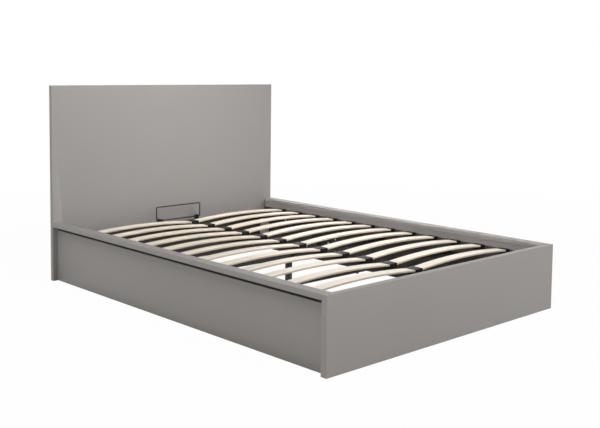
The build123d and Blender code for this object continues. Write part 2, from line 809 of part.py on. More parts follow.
# Bolts and nuts of the lifting frame
upright_bolts = [(sign * tube_x, y) for sign in sides.values() for y in cross_bar_y.values()]
upright_bolts += [(0, cross_bar_y[name]) for name in ("foot", "head")]
leg_bolt_start = cross_bar_y["middle"] - cross_bar_size / 2
with BuildPart() as frame_bolts:
    for x, y in upright_bolts:
        shank = frame_top - bar_under + nut_height + bolt_projection
        bolt_along((x, y, bar_under), (0, 0, 1), frame_bolt_radius, shank)
        bolt_along((x, y, bar_under), (0, 0, -1), frame_bolt_head, frame_bolt_head_height)
    leg_seat = (0, leg_bolt_start, leg_bolt_height)
    leg_shank = cross_bar_size + leg_size + nut_height + plug_flange
    bolt_along(leg_seat, (0, 1, 0), frame_bolt_radius, leg_shank)
    bolt_along(leg_seat, (0, -1, 0), frame_bolt_head, frame_bolt_head_height)
    for sign in sides.values():
        for y, z in upper_bolts:
            seat = (sign * upper_outer_x, y, z)
            shank = upper_plate + tube_size + nut_height + plug_flange
            bolt_along(seat, (-sign, 0, 0), frame_bolt_radius, shank)
            bolt_along(seat, (sign, 0, 0), frame_bolt_head, frame_bolt_head_height)
    for x, y in strap_bolts:
        seat = (x, y, frame_top + strap_thickness)
        bolt_along(seat, (0, 0, -1), strap_bolt_radius, strap_bolt_length)
        bolt_along(seat, (0, 0, 1), strap_bolt_head, strap_bolt_head_height)
    for x, y in clamp_bolts:
        seat = (x, y, clamp_top)
        bolt_along(seat, (0, 0, -1), strap_bolt_radius, clamp_top - frame_top + strap_bolt_length)
        bolt_along(seat, (0, 0, 1), strap_bolt_head, strap_bolt_head_height)
finish(frame_bolts, "frame_bolts")


def nut_along(point, direction):
    """A six-sided nut seated at a point, with its bore a thread's play wider than the bolt."""
    with BuildSketch(Plane(origin=point, z_dir=direction)) as section:
        RegularPolygon(nut_across / 2, nut_flats, major_radius=False)
        RegularPolygon(frame_bolt_radius + pin_play, bolt_flats, mode=Mode.SUBTRACT)
    extrude(section.sketch, amount=nut_height)


with BuildPart() as frame_nuts:
    for x, y in upright_bolts:
        nut_along((x, y, frame_top), (0, 0, 1))
    nut_along((0, leg_y + leg_size / 2, leg_bolt_height), (0, 1, 0))
    for sign in sides.values():
        for y, z in upper_bolts:
            nut_along((sign * (frame_half - tube_size), y, z), (-sign, 0, 0))
finish(frame_nuts, "frame_nuts")
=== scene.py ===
"""Double ottoman bed: painted boards, a black steel lifting frame, sprung birch slats.

Metres. X across the bed, Y from the foot to the headboard, Z up from the floor.
"""

import json
from math import asin, cos, pi, radians, sin, sqrt

import bmesh
import bpy
from mathutils import Matrix, Vector

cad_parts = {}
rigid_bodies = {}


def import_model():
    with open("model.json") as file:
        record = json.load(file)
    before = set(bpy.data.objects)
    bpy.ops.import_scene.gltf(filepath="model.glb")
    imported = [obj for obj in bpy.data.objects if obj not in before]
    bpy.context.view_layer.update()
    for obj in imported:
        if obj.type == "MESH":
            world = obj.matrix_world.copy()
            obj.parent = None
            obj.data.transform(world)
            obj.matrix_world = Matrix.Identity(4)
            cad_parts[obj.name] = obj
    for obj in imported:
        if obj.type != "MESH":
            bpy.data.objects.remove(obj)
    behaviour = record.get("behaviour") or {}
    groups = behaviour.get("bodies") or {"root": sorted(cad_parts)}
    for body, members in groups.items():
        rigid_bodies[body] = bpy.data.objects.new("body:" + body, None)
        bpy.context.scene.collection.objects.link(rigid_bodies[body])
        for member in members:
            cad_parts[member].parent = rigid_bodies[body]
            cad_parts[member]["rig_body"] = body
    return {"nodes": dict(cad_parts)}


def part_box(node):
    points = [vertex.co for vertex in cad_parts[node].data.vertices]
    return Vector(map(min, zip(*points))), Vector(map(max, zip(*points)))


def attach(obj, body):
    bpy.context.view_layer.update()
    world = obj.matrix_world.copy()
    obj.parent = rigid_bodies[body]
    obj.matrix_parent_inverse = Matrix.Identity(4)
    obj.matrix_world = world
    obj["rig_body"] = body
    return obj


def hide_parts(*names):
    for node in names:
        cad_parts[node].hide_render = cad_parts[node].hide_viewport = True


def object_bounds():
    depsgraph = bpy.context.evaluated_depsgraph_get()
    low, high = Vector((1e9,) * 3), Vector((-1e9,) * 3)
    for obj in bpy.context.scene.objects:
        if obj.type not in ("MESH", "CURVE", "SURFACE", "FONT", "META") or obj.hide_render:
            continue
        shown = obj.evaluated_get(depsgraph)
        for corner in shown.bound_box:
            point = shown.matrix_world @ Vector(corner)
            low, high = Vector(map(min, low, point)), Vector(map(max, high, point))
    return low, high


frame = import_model()
cad_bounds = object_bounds()
sides = {"left": -1, "right": 1}

# Sizes that the frame's boxes don't give
slat_thickness = 0.008
slat_inner_end = 0.0043
slat_steps = 28
slat_edge = 0.0016
bow_share = 0.999
cap_wall = 0.0025
cap_play = 0.0003
cap_corner = 0.006
cap_dip = 0.005
cap_panel = 0.004
cap_panel_depth = 0.0005
cap_ease = 0.0007
peg_half = 0.0034
peg_drop = 0.006
bolt_radius = 0.004
bolt_core = 0.0034
bolt_pitch = 0.00125
bolt_across = 0.0121
bolt_head = 0.0055
bolt_tip = 0.257
upright_thread = 0.030
other_thread = 0.011
small_head = 0.0025
nut_across = 0.013
nut_half = 0.0035
panel_screw_length = 0.015
link_plate = 0.004
wire_radius = 0.0035
wire_bend = 0.008
strap_span = 0.220
strap_rise = 0.015
strap_thickness = 0.0025
stitch_pitch = 0.0032
stitch_radius = 0.00042
stitch_stretch = 2.9
board_bevel = 0.0003
face_play = 0.002
# Heights up to which the faces inside the storage room carry the painted shade
interior_shade_top = {"sides": 0.245, "ends": 0.215}
steel_bevel = 0.0005
hair = 0.00001
node_merge = 0.000005

# Colours as they are seen in plain light, in sRGB from 0 to 255
board_colour = (164, 160, 157)
# Painted shade: the colour of the board's faces inside the storage room, where shade falls below the slats
interior_shade_colour = (72, 70, 68)
birch_light = (252, 241, 224)
birch_dark = (239, 221, 194)
end_grain_dark = (226, 208, 182)
end_grain_light = (240, 224, 200)
birch_warm = (246, 233, 211)
birch_pore = (212, 186, 150)
ply_line = (206, 182, 150)
cross_ply_colour = (214, 192, 162)
black_paint = (30, 30, 31)
paint_dust = (58, 57, 56)
black_mould = (18, 18, 19)
mould_flow = (28, 28, 29)
black_rubber_colour = (22, 22, 22)
rubber_bloom = (44, 43, 42)
zinc_colour = (196, 194, 186)
zinc_dull = (166, 166, 160)
black_zinc_colour = (62, 62, 64)
black_zinc_dull = (48, 48, 50)
chrome_colour = (214, 216, 218)
chrome_ring = (188, 190, 194)
webbing_colour = (24, 24, 26)
webbing_worn = (52, 52, 55)
stitch_colour = (58, 58, 60)
stitch_dark = (34, 34, 36)
# Painted shade: the near-black that stands for the shade in the groove under the cap rail
gap_shade_colour = (20, 18, 17)


def linear(colour):
    """A colour from 0 to 255 as the linear light that Blender's sockets take."""
    parts = [part / 255 for part in colour]
    light = [p / 12.92 if p <= 0.04045 else ((p + 0.055) / 1.055) ** 2.4 for p in parts]
    return (*light, 1)


# Materials: an expression on wires adds its Math nodes
class Wire:
    """One output of a tree of shader nodes."""

    def __init__(self, nodes, socket):
        self.nodes = nodes
        self.socket = socket

    def sum(self, operation, first, second=None):
        sockets = {0: first} if second is None else {0: first, 1: second}
        return self.nodes.node("ShaderNodeMath", {"operation": operation}, sockets)

    def __add__(self, other):
        return self.sum("ADD", self, other)

    def __radd__(self, other):
        return self.sum("ADD", other, self)

    def __sub__(self, other):
        return self.sum("SUBTRACT", self, other)

    def __rsub__(self, other):
        return self.sum("SUBTRACT", other, self)

    def __mul__(self, other):
        return self.sum("MULTIPLY", self, other)

    def __rmul__(self, other):
        return self.sum("MULTIPLY", other, self)

    def __truediv__(self, other):
        return self.sum("DIVIDE", self, other)

    def __rtruediv__(self, other):
        return self.sum("DIVIDE", other, self)

    def __gt__(self, other):
        return self.sum("GREATER_THAN", self, other)

    def __lt__(self, other):
        return self.sum("LESS_THAN", self, other)

    def __abs__(self):
        return self.sum("ABSOLUTE", self)

    def power(self, other):
        return self.sum("POWER", self, other)

    def floor(self):
        return self.sum("FLOOR", self)

    def fraction(self):
        return self.sum("FRACT", self)

    def wave(self):
        """The sine of a value, from 0 to 1."""
        return self.sum("SINE", self) * 0.5 + 0.5

    def between(self, low, high):
        """0 below low, 1 above high, and a straight slope between them."""
        sockets = {"Value": self, "From Min": low, "From Max": high}
        return self.nodes.node("ShaderNodeMapRange", {"clamp": True}, sockets)


class Nodes:
    """The shader nodes of a material or of the world."""

    def __init__(self, tree):
        self.tree = tree

    def node(self, kind, settings=None, sockets=None, output=0):
        """Any node: its settings are set first, then the values or wires of its sockets."""
        made = self.tree.nodes.new(kind)
        for name, value in (settings or {}).items():
            setattr(made, name, value)
        for name, value in (sockets or {}).items():
            self.feed(made.inputs[name], value)
        return Wire(self, made.outputs[output])

    def feed(self, socket, value):
        if isinstance(value, Wire):
            self.tree.links.new(value.socket, socket)
        else:
            socket.default_value = value

    def seen(self):
        """1 where the camera looks, also in a gloss or through glass, and 0 for what lights the bed."""
        straight = self.node("ShaderNodeLightPath", output="Is Camera Ray")
        glossy = self.node("ShaderNodeLightPath", output="Is Glossy Ray")
        through = self.node("ShaderNodeLightPath", output="Is Transmission Ray")
        return straight.sum("MAXIMUM", straight.sum("MAXIMUM", straight, glossy), through)


class Finish(Nodes):
    """One material, which ends in one Principled shader."""

    def __init__(self, name, colour, roughness, metallic=0.0):
        self.material = bpy.data.materials.new(name)
        self.material.use_nodes = True
        super().__init__(self.material.node_tree)
        self.shader = self.tree.nodes["Principled BSDF"]
        self.set("Base Color", linear(colour))
        self.set("Roughness", roughness)
        self.set("Metallic", metallic)

    def set(self, name, value):
        self.feed(self.shader.inputs[name], value)

    def place(self, scale=(1, 1, 1)):
        """The point on the piece, in metres, stretched by a scale."""
        sockets = {"Vector": self.node("ShaderNodeTexCoord", output="Object"), "Scale": scale}
        return self.node("ShaderNodeMapping", None, sockets)

    def axes(self, vector=None):
        """The three parts of a vector, by default those of the point on the piece."""
        vector = vector or self.node("ShaderNodeTexCoord", output="Object")
        return [self.node("ShaderNodeSeparateXYZ", sockets={"Vector": vector}, output=i) for i in range(3)]

    def noise(self, vector, scale, detail=2.0, rough=0.5):
        sockets = {"Vector": vector, "Scale": scale, "Detail": detail, "Roughness": rough}
        return self.node("ShaderNodeTexNoise", None, sockets, "Fac")

    def mix(self, share, first, second):
        """Two colours mixed by a share of the second. A colour of three numbers is from 0 to 255."""
        pair = [linear(c) if isinstance(c, tuple) and len(c) == 3 else c for c in (first, second)]
        return self.node("ShaderNodeMix", {"data_type": "RGBA"}, {0: share, 6: pair[0], 7: pair[1]}, 2)

    def tint(self, share, first, second):
        """The piece's own colour: two colours mixed by a share of the second."""
        self.set("Base Color", self.mix(share, first, second))

    def bump(self, height, depth, strength=1.0, onto=None):
        """Bumps as deep as a distance in metres, on top of other bumps if there are any."""
        sockets = {"Height": height, "Distance": depth, "Strength": strength}
        if onto is not None:
            sockets["Normal"] = onto
        bumped = self.node("ShaderNodeBump", None, sockets, "Normal")
        self.set("Normal", bumped)
        return bumped


def painted_board():
    """Matt paint on board: a fine roller texture, and a painted shade that darkens the faces inside the
    storage room, below the slats.
    """
    finish = Finish("painted_board", board_colour, 0.48)
    across, along, up = finish.axes()
    panel_low, panel_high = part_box("side_panel_right")
    on_side = abs(across) > panel_low.x - face_play
    edge = interior_shade_top["ends"] + on_side * (interior_shade_top["sides"] - interior_shade_top["ends"])
    # Painted shade: the board's faces inside the storage room, below the slats, take the dark shade colour
    inside = (abs(across) < (panel_low.x + panel_high.x) / 2) * (up < edge)
    inside = inside * (along < panel_high.y + face_play) * (along > panel_low.y - face_play)
    cloud = finish.noise(finish.place(), 2.3, 3.0)
    fleck = finish.noise(finish.place(), 420.0, 2.0)
    shades = finish.mix(cloud, tuple(0.975 * c for c in board_colour), board_colour)
    finish.tint(inside, shades, interior_shade_colour)
    finish.set("Roughness", 0.42 + fleck * 0.08 + cloud * 0.045)
    roller = finish.bump(fleck, 0.00006, 0.6)
    finish.bump(finish.noise(finish.place(), 36.0, 1.0), 0.00012, 0.35, roller)
    finish.set("Specular IOR Level", 0.18)
    return finish.material


def shadow_paint():
    """The strip behind the cap rail: painted near-black in the groove as painted shade, and board grey
    towards the storage room.
    """
    finish = Finish("shadow_paint", gap_shade_colour, 0.8)
    across, along, up = finish.axes()
    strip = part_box("shadow_strip_right")
    outer = abs(across) > (strip[0].x + strip[1].x) / 2
    # Painted shade: the strip's outer face is near-black where the groove is shaded; the worn noise only
    # mottles that dark a little
    worn = finish.noise(finish.place(), 60.0, 3.0)
    dark = finish.mix(worn, gap_shade_colour, tuple(1.3 * c for c in gap_shade_colour))
    finish.tint(outer, board_colour, dark)
    finish.bump(worn, 0.0001, 0.4)
    return finish.material


def birch():
    """Bent birch slats: a pale face veneer with long grain, and plies that show at the edges."""
    finish = Finish("birch_slat", birch_light, 0.42)
    across, along, up = finish.axes()
    row = ((along - first_slat_y) / slat_pitch + 0.5).floor()
    side = across > 0
    seed = row * 2 + side
    own = finish.node("ShaderNodeTexWhiteNoise", {"noise_dimensions": "1D"}, {"W": seed + 0.37}, "Value")
    shift = finish.node("ShaderNodeCombineXYZ", None, {0: own * 7, 1: own * 3, 2: own})
    moved = finish.node("ShaderNodeVectorMath", {"operation": "ADD"}, {0: finish.place(), 1: shift})
    long_grain = finish.node("ShaderNodeMapping", None, {"Vector": moved, "Scale": (7, 260, 60)})
    broad_grain = finish.node("ShaderNodeMapping", None, {"Vector": moved, "Scale": (2.2, 46, 12)})
    fine = finish.noise(long_grain, 1.0, 4.0, 0.6)
    broad = finish.noise(broad_grain, 1.0, 3.0, 0.55)
    pores = finish.noise(long_grain, 2.6, 2.0).between(0.62, 0.74)
    grain = finish.mix(fine.between(0.3, 0.75), birch_light, birch_dark)
    face = finish.mix(broad.between(0.35, 0.8) * 0.55, birch_light, grain)
    face = finish.mix(pores * 0.16, face, birch_pore)
    face = finish.mix(own * 0.25, face, birch_warm)
    depth = ((abs(across) - slat_middle_x).power(2) + (up - slat_centre_z).power(2)).power(0.5)
    layer = (depth - slat_radius) / slat_thickness
    ply = (layer * 5).fraction()
    glue = 1 - abs(ply - 0.5).between(0.40, 0.47)
    cross_ply = ((layer * 5).floor() * 0.5).fraction() > 0.2
    end_grain = finish.mix(fine, end_grain_dark, end_grain_light)
    edge = finish.mix(cross_ply * 0.5, end_grain, cross_ply_colour)
    edge = finish.mix(glue, ply_line, edge)
    _, facing, _ = finish.axes(finish.node("ShaderNodeTexCoord", output="Normal"))
    on_edge = abs(facing).between(0.55, 0.8)
    finish.tint(on_edge, face, edge)
    finish.set("Roughness", 0.36 + fine * 0.16 + on_edge * 0.25)
    finish.set("Coat Weight", 0.12)
    finish.set("Coat Roughness", 0.3)
    grooves = finish.bump(fine, 0.00012, 0.5)
    finish.bump(glue * on_edge, 0.0002, 0.5, grooves)
    return finish.material


def powder_coat():
    """Black powder coat on steel: a fine pebbled skin, a little worn to grey."""
    finish = Finish("powder_coat", black_paint, 0.42)
    pebble = finish.noise(finish.place(), 900.0, 2.0)
    dust = finish.noise(finish.place(), 11.0, 4.0, 0.6).between(0.5, 0.85)
    finish.tint(dust * 0.25, black_paint, paint_dust)
    finish.set("Roughness", 0.36 + pebble * 0.12 + dust * 0.1)
    finish.bump(pebble, 0.00008, 0.7)
    return finish.material


def moulded_plastic():
    """Black moulded plastic with a spark-eroded grain."""
    finish = Finish("moulded_plastic", black_mould, 0.45)
    grain = finish.noise(finish.place(), 1500.0, 1.0)
    flow = finish.noise(finish.place(), 45.0, 2.0)
    finish.tint(flow * 0.4, black_mould, mould_flow)
    finish.set("Roughness", 0.4 + grain * 0.15)
    finish.set("Specular IOR Level", 0.12)
    finish.bump(grain, 0.00005, 0.6)
    return finish.material


def soft_rubber():
    """Matt black rubber."""
    finish = Finish("soft_rubber", black_rubber_colour, 0.8)
    bloom = finish.noise(finish.place(), 80.0, 4.0)
    finish.tint(bloom * 0.4, black_rubber_colour, rubber_bloom)
    finish.set("Roughness", 0.7 + bloom * 0.2)
    finish.bump(finish.noise(finish.place(), 700.0, 2.0), 0.00006, 0.5)
    return finish.material


def zinc_plate(name, colour, dull_colour, metallic, low, spread):
    """Zinc plate, faintly mottled: its roughness starts at a low and varies by a spread."""
    finish = Finish(name, colour, low, metallic)
    mottle = finish.noise(finish.place(), 160.0, 4.0, 0.6)
    finish.tint(mottle, colour, dull_colour)
    finish.set("Roughness", low + mottle * spread)
    finish.bump(mottle, 0.00004, 0.4)
    return finish.material


def polished_rod():
    """Chromed rod with the faint rings that grinding leaves."""
    finish = Finish("polished_rod", chrome_colour, 0.12, 1.0)
    turned = finish.noise(finish.place((300, 2200, 2200)), 1.0, 2.0)
    finish.set("Roughness", 0.07 + turned * 0.1)
    finish.tint(turned * 0.3, chrome_colour, chrome_ring)
    finish.bump(turned, 0.00001, 0.3)
    return finish.material


def webbing():
    """Woven black webbing, with the weave on the strap's own map: U along it, V across."""
    finish = Finish("webbing", webbing_colour, 0.75)
    u, v, _ = finish.axes(finish.node("ShaderNodeTexCoord", output="UV"))
    warp = (v * 2 * pi * 11).wave()
    weft = (u * 2 * pi * 240 + (v * 11).floor() * pi).wave()
    weave = warp * 0.6 + weft * 0.4
    fuzz = finish.noise(finish.place(), 900.0, 3.0)
    finish.tint(weave * 0.5 + fuzz * 0.2, webbing_colour, webbing_worn)
    finish.set("Roughness", 0.68 + fuzz * 0.2)
    finish.set("Sheen Weight", 0.25)
    finish.bump(weave, 0.0004, 0.9)
    return finish.material


def thread():
    """Grey sewing thread, twisted."""
    finish = Finish("thread", stitch_colour, 0.7)
    across, along, up = finish.axes()
    twist = ((across + along) * 2 * pi * 900).wave()
    finish.tint(twist * 0.5, stitch_colour, stitch_dark)
    finish.bump(twist, 0.0001, 0.6)
    return finish.material


# Modelling tools
def alone(piece):
    """Make one piece the only one selected."""
    bpy.ops.object.select_all(action="DESELECT")
    bpy.context.view_layer.objects.active = piece
    piece.select_set(True)


def open_piece(piece, select="DESELECT"):
    """Open one piece in edit mode, with nothing selected in it or with all of it."""
    alone(piece)
    bpy.ops.object.mode_set(mode="EDIT")
    bpy.ops.mesh.select_all(action=select)


def close_piece():
    bpy.ops.object.mode_set(mode="OBJECT")


def pick(piece, kind, test):
    """Select the open piece's faces, edges or points that pass a test, and nothing else."""
    bpy.ops.mesh.select_mode(type=kind)
    mesh = bmesh.from_edit_mesh(piece.data)
    groups = {"FACE": mesh.faces, "EDGE": mesh.edges, "VERT": mesh.verts}
    for group in groups.values():
        for item in group:
            item.select_set(False)
    for item in groups[kind]:
        if test(item):
            item.select_set(True)
    mesh.select_flush_mode()
    bmesh.update_edit_mesh(piece.data)


def edge_middle(edge):
    return (edge.verts[0].co + edge.verts[1].co) / 2


def edge_along(edge, axis):
    """Whether an edge runs along an axis."""
    run = (edge.verts[1].co - edge.verts[0].co).normalized()
    return abs(run.dot(Vector(axis))) > 0.99


def extrude(run):
    """Draw what is selected out by a run."""
    bpy.ops.mesh.extrude_region_move(TRANSFORM_OT_translate={"value": run})


def new_piece(name, add, stretch=(1, 1, 1), **settings):
    """A new primitive, with its place, turn and stretch brought into its mesh."""
    bpy.ops.object.select_all(action="DESELECT")
    add(**settings)
    piece = bpy.context.object
    piece.name = name
    piece.scale = stretch
    bpy.ops.object.transform_apply(location=True, rotation=True, scale=True)
    return piece


def new_block(name, low, high):
    """A cube between two corners."""
    low, high = Vector(low), Vector(high)
    return new_piece(name, bpy.ops.mesh.primitive_cube_add, high - low, size=1, location=(low + high) / 2)


def new_rod(name, start, end, radius, faces):
    """A cylinder from one point to another."""
    start, end = Vector(start), Vector(end)
    run = end - start
    place = {"location": (start + end) / 2, "rotation": run.to_track_quat("Z", "Y").to_euler()}
    add = bpy.ops.mesh.primitive_cylinder_add
    return new_piece(name, add, vertices=faces, radius=radius, depth=run.length, **place)


def turned(name, profile, faces=40):
    """A piece turned on a lathe, along Z: its end face is drawn out through heights and radii."""
    (z, radius), *rest = profile
    add = bpy.ops.mesh.primitive_circle_add
    piece = new_piece(name, add, vertices=faces, radius=radius, fill_type="NGON", location=(0, 0, z))
    open_piece(piece, "SELECT")
    for next_z, next_radius in rest:
        share = next_radius / radius
        extrude((0, 0, next_z - z))
        bpy.ops.transform.resize(value=(share, share, 1), center_override=(0, 0, next_z))
        z, radius = next_z, next_radius
    close_piece()
    face_out(piece)
    return piece


def modify(piece, kind, **settings):
    """Add a modifier with its settings and apply it."""
    alone(piece)
    modifier = piece.modifiers.new(kind.lower(), kind)
    for name, value in settings.items():
        setattr(modifier, name, value)
    bpy.ops.object.modifier_apply(modifier=modifier.name)


def cut(piece, tool, operation="DIFFERENCE"):
    """Cut a tool's shape from a piece, and take the tool away."""
    modify(piece, "BOOLEAN", object=tool, operation=operation, solver="EXACT")
    bpy.data.objects.remove(tool)


def round_edges(piece, width, steps=2, angle=40):
    """Bevel the edges that turn by more than an angle."""
    sharp = {"limit_method": "ANGLE", "angle_limit": radians(angle), "use_clamp_overlap": True}
    modify(piece, "BEVEL", width=width, segments=steps, **sharp)


def repeat(piece, count, step):
    """Repeat a piece in a row."""
    spacing = {"use_constant_offset": True, "constant_offset_displace": step}
    modify(piece, "ARRAY", count=count, use_relative_offset=False, **spacing)


def smooth(piece, angle=35):
    alone(piece)
    bpy.ops.object.shade_smooth_by_angle(angle=radians(angle))


def face_out(piece):
    """Merge doubled points and point all faces outwards."""
    open_piece(piece, "SELECT")
    bpy.ops.mesh.remove_doubles(threshold=hair)
    bpy.ops.mesh.normals_make_consistent(inside=False)
    close_piece()


def join(pieces, name):
    """Join several pieces into the first."""
    bpy.ops.object.select_all(action="DESELECT")
    for piece in pieces:
        piece.select_set(True)
    bpy.context.view_layer.objects.active = pieces[0]
    bpy.ops.object.join()
    pieces[0].name = name
    return pieces[0]


def copy_of(piece, name, matrix):
    """A copy with its own mesh, moved by a matrix."""
    made = piece.copy()
    made.data = piece.data.copy()
    made.name = name
    bpy.context.scene.collection.objects.link(made)
    made.data.transform(matrix)
    return made


def along(point, direction):
    """The move that takes a piece made at the origin, facing +Z, to a point and a direction."""
    turn = Vector(direction).to_track_quat("Z", "Y").to_matrix().to_4x4()
    return Matrix.Translation(point) @ turn


def finished(piece, material, slot, *nodes):
    """Give a piece its material, and the body of the nodes that it stands for. The slot is not used."""
    body = frame["nodes"][nodes[0]]["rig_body"] if nodes else "lift_frame"
    piece.data.materials.clear()
    piece.data.materials.append(material)
    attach(piece, body)
    if nodes:
        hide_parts(*nodes)
    return piece


def lathed(name, profile, move, material, slot, node):
    """A turned piece, moved to its place and finished."""
    piece = turned(name, profile)
    piece.data.transform(move)
    smooth(piece)
    return finished(piece, material, slot, node)


def copy_of_node(node, name):
    """A node's shape as a piece of its own, with its loose triangles merged into whole faces."""
    made = copy_of(frame["nodes"][node], name, Matrix.Identity(4))
    for key in list(made.keys()):
        del made[key]
    made.parent = None
    made.hide_render = False
    made.hide_viewport = False
    open_piece(made, "SELECT")
    bpy.ops.mesh.remove_doubles(threshold=node_merge)
    bpy.ops.mesh.dissolve_limited(angle_limit=radians(0.5))
    bpy.ops.mesh.normals_make_consistent(inside=False)
    close_piece()
    return made


def solids_of(node):
    """The boxes of the separate solids of a node, as lowest and highest corners."""
    mesh = bmesh.new()
    mesh.from_mesh(frame["nodes"][node].data)
    bmesh.ops.remove_doubles(mesh, verts=mesh.verts, dist=node_merge)
    left = set(mesh.verts)
    boxes = []
    while left:
        group = [left.pop()]
        for point in group:
            for edge in point.link_edges:
                other = edge.other_vert(point)
                if other in left:
                    left.discard(other)
                    group.append(other)
        low = Vector([min(point.co[i] for point in group) for i in range(3)])
        high = Vector([max(point.co[i] for point in group) for i in range(3)])
        boxes.append((low, high))
    mesh.free()
    return sorted(boxes, key=lambda box: tuple(round(value, 4) for value in box[0]))


def dressed(node, material, slot, bevel):
    """A node whose shape is right, with its edges eased so that they catch the light."""
    piece = copy_of_node(node, f"{node}.eased")
    round_edges(piece, bevel)
    smooth(piece)
    return finished(piece, material, slot, node)


# Worked out from the frame
rows = range(1, 13)
row_boxes = {row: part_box(f"slat_row_{row:02d}") for row in rows}
row_y = {row: (low.y + high.y) / 2 for row, (low, high) in row_boxes.items()}
first_slat_y = row_y[1]
slat_pitch = (row_y[12] - row_y[1]) / 11
slat_low, slat_high = row_boxes[1]
slat_width = slat_high.y - slat_low.y
slat_outer_end = slat_high.x
slat_rise = slat_high.z - slat_low.z - slat_thickness
slat_middle_x = (slat_inner_end + slat_outer_end) / 2
slat_half_span = (slat_outer_end - slat_inner_end) / 2
slat_radius = (slat_half_span**2 + slat_rise**2) / (2 * slat_rise)
slat_centre_z = slat_low.z + slat_rise - slat_radius
frame_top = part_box("side_tube_right")[1].z

birch_slat = birch()
board_paint = painted_board()
strip_paint = shadow_paint()
black_steel = powder_coat()
black_plastic = moulded_plastic()
rubber = soft_rubber()
zinc = zinc_plate("zinc_plate", zinc_colour, zinc_dull, 1.0, 0.24, 0.22)
black_zinc = zinc_plate("black_zinc_plate", black_zinc_colour, black_zinc_dull, 0.6, 0.32, 0.2)
chrome = polished_rod()
woven = webbing()
sewing = thread()


def slat_under(x):
    """Height of a slat's underside at a distance from the bed's middle line."""
    return slat_centre_z + sqrt(slat_radius**2 - (abs(x) - slat_middle_x) ** 2)


# Boards
for node in ("headboard_panel", "foot_panel"):
    dressed(node, board_paint, "painted_board", board_bevel)
for side in sides:
    dressed(f"side_panel_{side}", board_paint, "painted_board", board_bevel)
    dressed(f"cap_rail_{side}", board_paint, "painted_board", board_bevel)
    dressed(f"shadow_strip_{side}", strip_paint, "shadow_strip", board_bevel)


# Slats: one is bent by spinning its end, and the rest are copies
def bent_slat():
    """A bowed slat, at the first row on the right."""
    y = row_y[1]
    middle = (slat_middle_x, y, slat_low.z + slat_rise + slat_thickness / 2)
    section = (slat_thickness, slat_width, 1)
    add = bpy.ops.mesh.primitive_plane_add
    piece = new_piece("slat", add, section, size=1, location=middle, rotation=(0, pi / 2, 0))
    half_turn = asin(slat_half_span / slat_radius) * bow_share
    centre = (slat_middle_x, y, slat_centre_z)
    turn_back = Matrix.Rotation(-half_turn, 4, "Y")
    piece.data.transform(Matrix.Translation(centre) @ turn_back @ Matrix.Translation(-Vector(centre)))
    open_piece(piece, "SELECT")
    bpy.ops.mesh.spin(steps=slat_steps, angle=2 * half_turn, center=centre, axis=(0, -1, 0))
    bpy.ops.mesh.select_all(action="SELECT")
    bpy.ops.mesh.remove_doubles(threshold=hair)
    bpy.ops.mesh.select_all(action="DESELECT")
    bpy.ops.mesh.select_non_manifold()
    bpy.ops.mesh.fill_holes(sides=0)
    close_piece()
    face_out(piece)
    round_edges(piece, slat_edge, 3, 50)
    smooth(piece, 40)
    return piece


slat_master = bent_slat()
for row in rows:
    for side, sign in sides.items():
        across = 0 if sign > 0 else -2 * slat_middle_x
        move = Matrix.Translation((across, row_y[row] - row_y[1], 0))
        slat = copy_of(slat_master, f"slat_{row:02d}_{side}", move)
        finished(slat, birch_slat, "slat_wood", f"slat_row_{row:02d}")
bpy.data.objects.remove(slat_master)


# Slat caps: a block with a pocket for the slat's end, moulded with soft corners
cap_low, cap_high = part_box("side_caps_right")
cap_half_width = slat_width / 2 + cap_play + cap_wall
cap_back = cap_high.x
cap_mouth = cap_low.x


def lid_height(x):
    return slat_under(x) + slat_thickness + cap_play + cap_wall


def pocket(piece, mouth_x, depth, facing):
    """Open a block's end towards a slat: inset its face and push the inset in along the slat."""
    open_piece(piece)
    pick(piece, "FACE", lambda face: face.normal.x * facing > 0.95)
    bpy.ops.mesh.inset(thickness=cap_wall, depth=0)
    mesh = bmesh.from_edit_mesh(piece.data)
    mouth_face = next(face for face in mesh.faces if face.select)
    sill = min(point.co.z for point in mouth_face.verts)
    low_points = {point for point in mouth_face.verts if point.co.z < sill + 0.0001}
    pick(piece, "VERT", lambda point: point in low_points)
    bpy.ops.transform.translate(value=(0, 0, slat_under(mouth_x) - cap_play - sill))
    pick(piece, "FACE", lambda face: face == mouth_face)
    fall = slat_under(mouth_x) - slat_under(mouth_x + (depth if facing < 0 else -depth))
    extrude((-facing * depth, 0, -fall * 0.8))
    close_piece()


def side_cap():
    """The cap at a slat's outer end, on the right side tube at the first row."""
    y = row_y[1]
    low = (cap_mouth, y - cap_half_width, frame_top)
    high = (cap_back, y + cap_half_width, lid_height(cap_mouth))
    piece = new_block("side_cap", low, high)
    open_piece(piece)
    pick(piece, "VERT", lambda point: point.co.x > cap_back - 0.001 and point.co.z > frame_top + 0.001)
    drop = lid_height(slat_outer_end) - lid_height(cap_mouth)
    bpy.ops.transform.translate(value=(0, 0, drop))
    pick(piece, "EDGE", lambda edge: edge_along(edge, (0, 0, 1)) and edge_middle(edge).x > cap_back - 0.001)
    bpy.ops.mesh.bevel(offset=cap_corner, segments=4)
    close_piece()
    pocket(piece, cap_mouth, slat_outer_end - cap_mouth, -1)
    open_piece(piece)
    pick(piece, "FACE", lambda face: face.normal.z > 0.9 and face.calc_area() > 0.0012)
    bpy.ops.mesh.inset(thickness=cap_panel, depth=-cap_panel_depth)
    close_piece()
    round_edges(piece, cap_ease)
    return add_peg(piece, tube_middle_x, y)


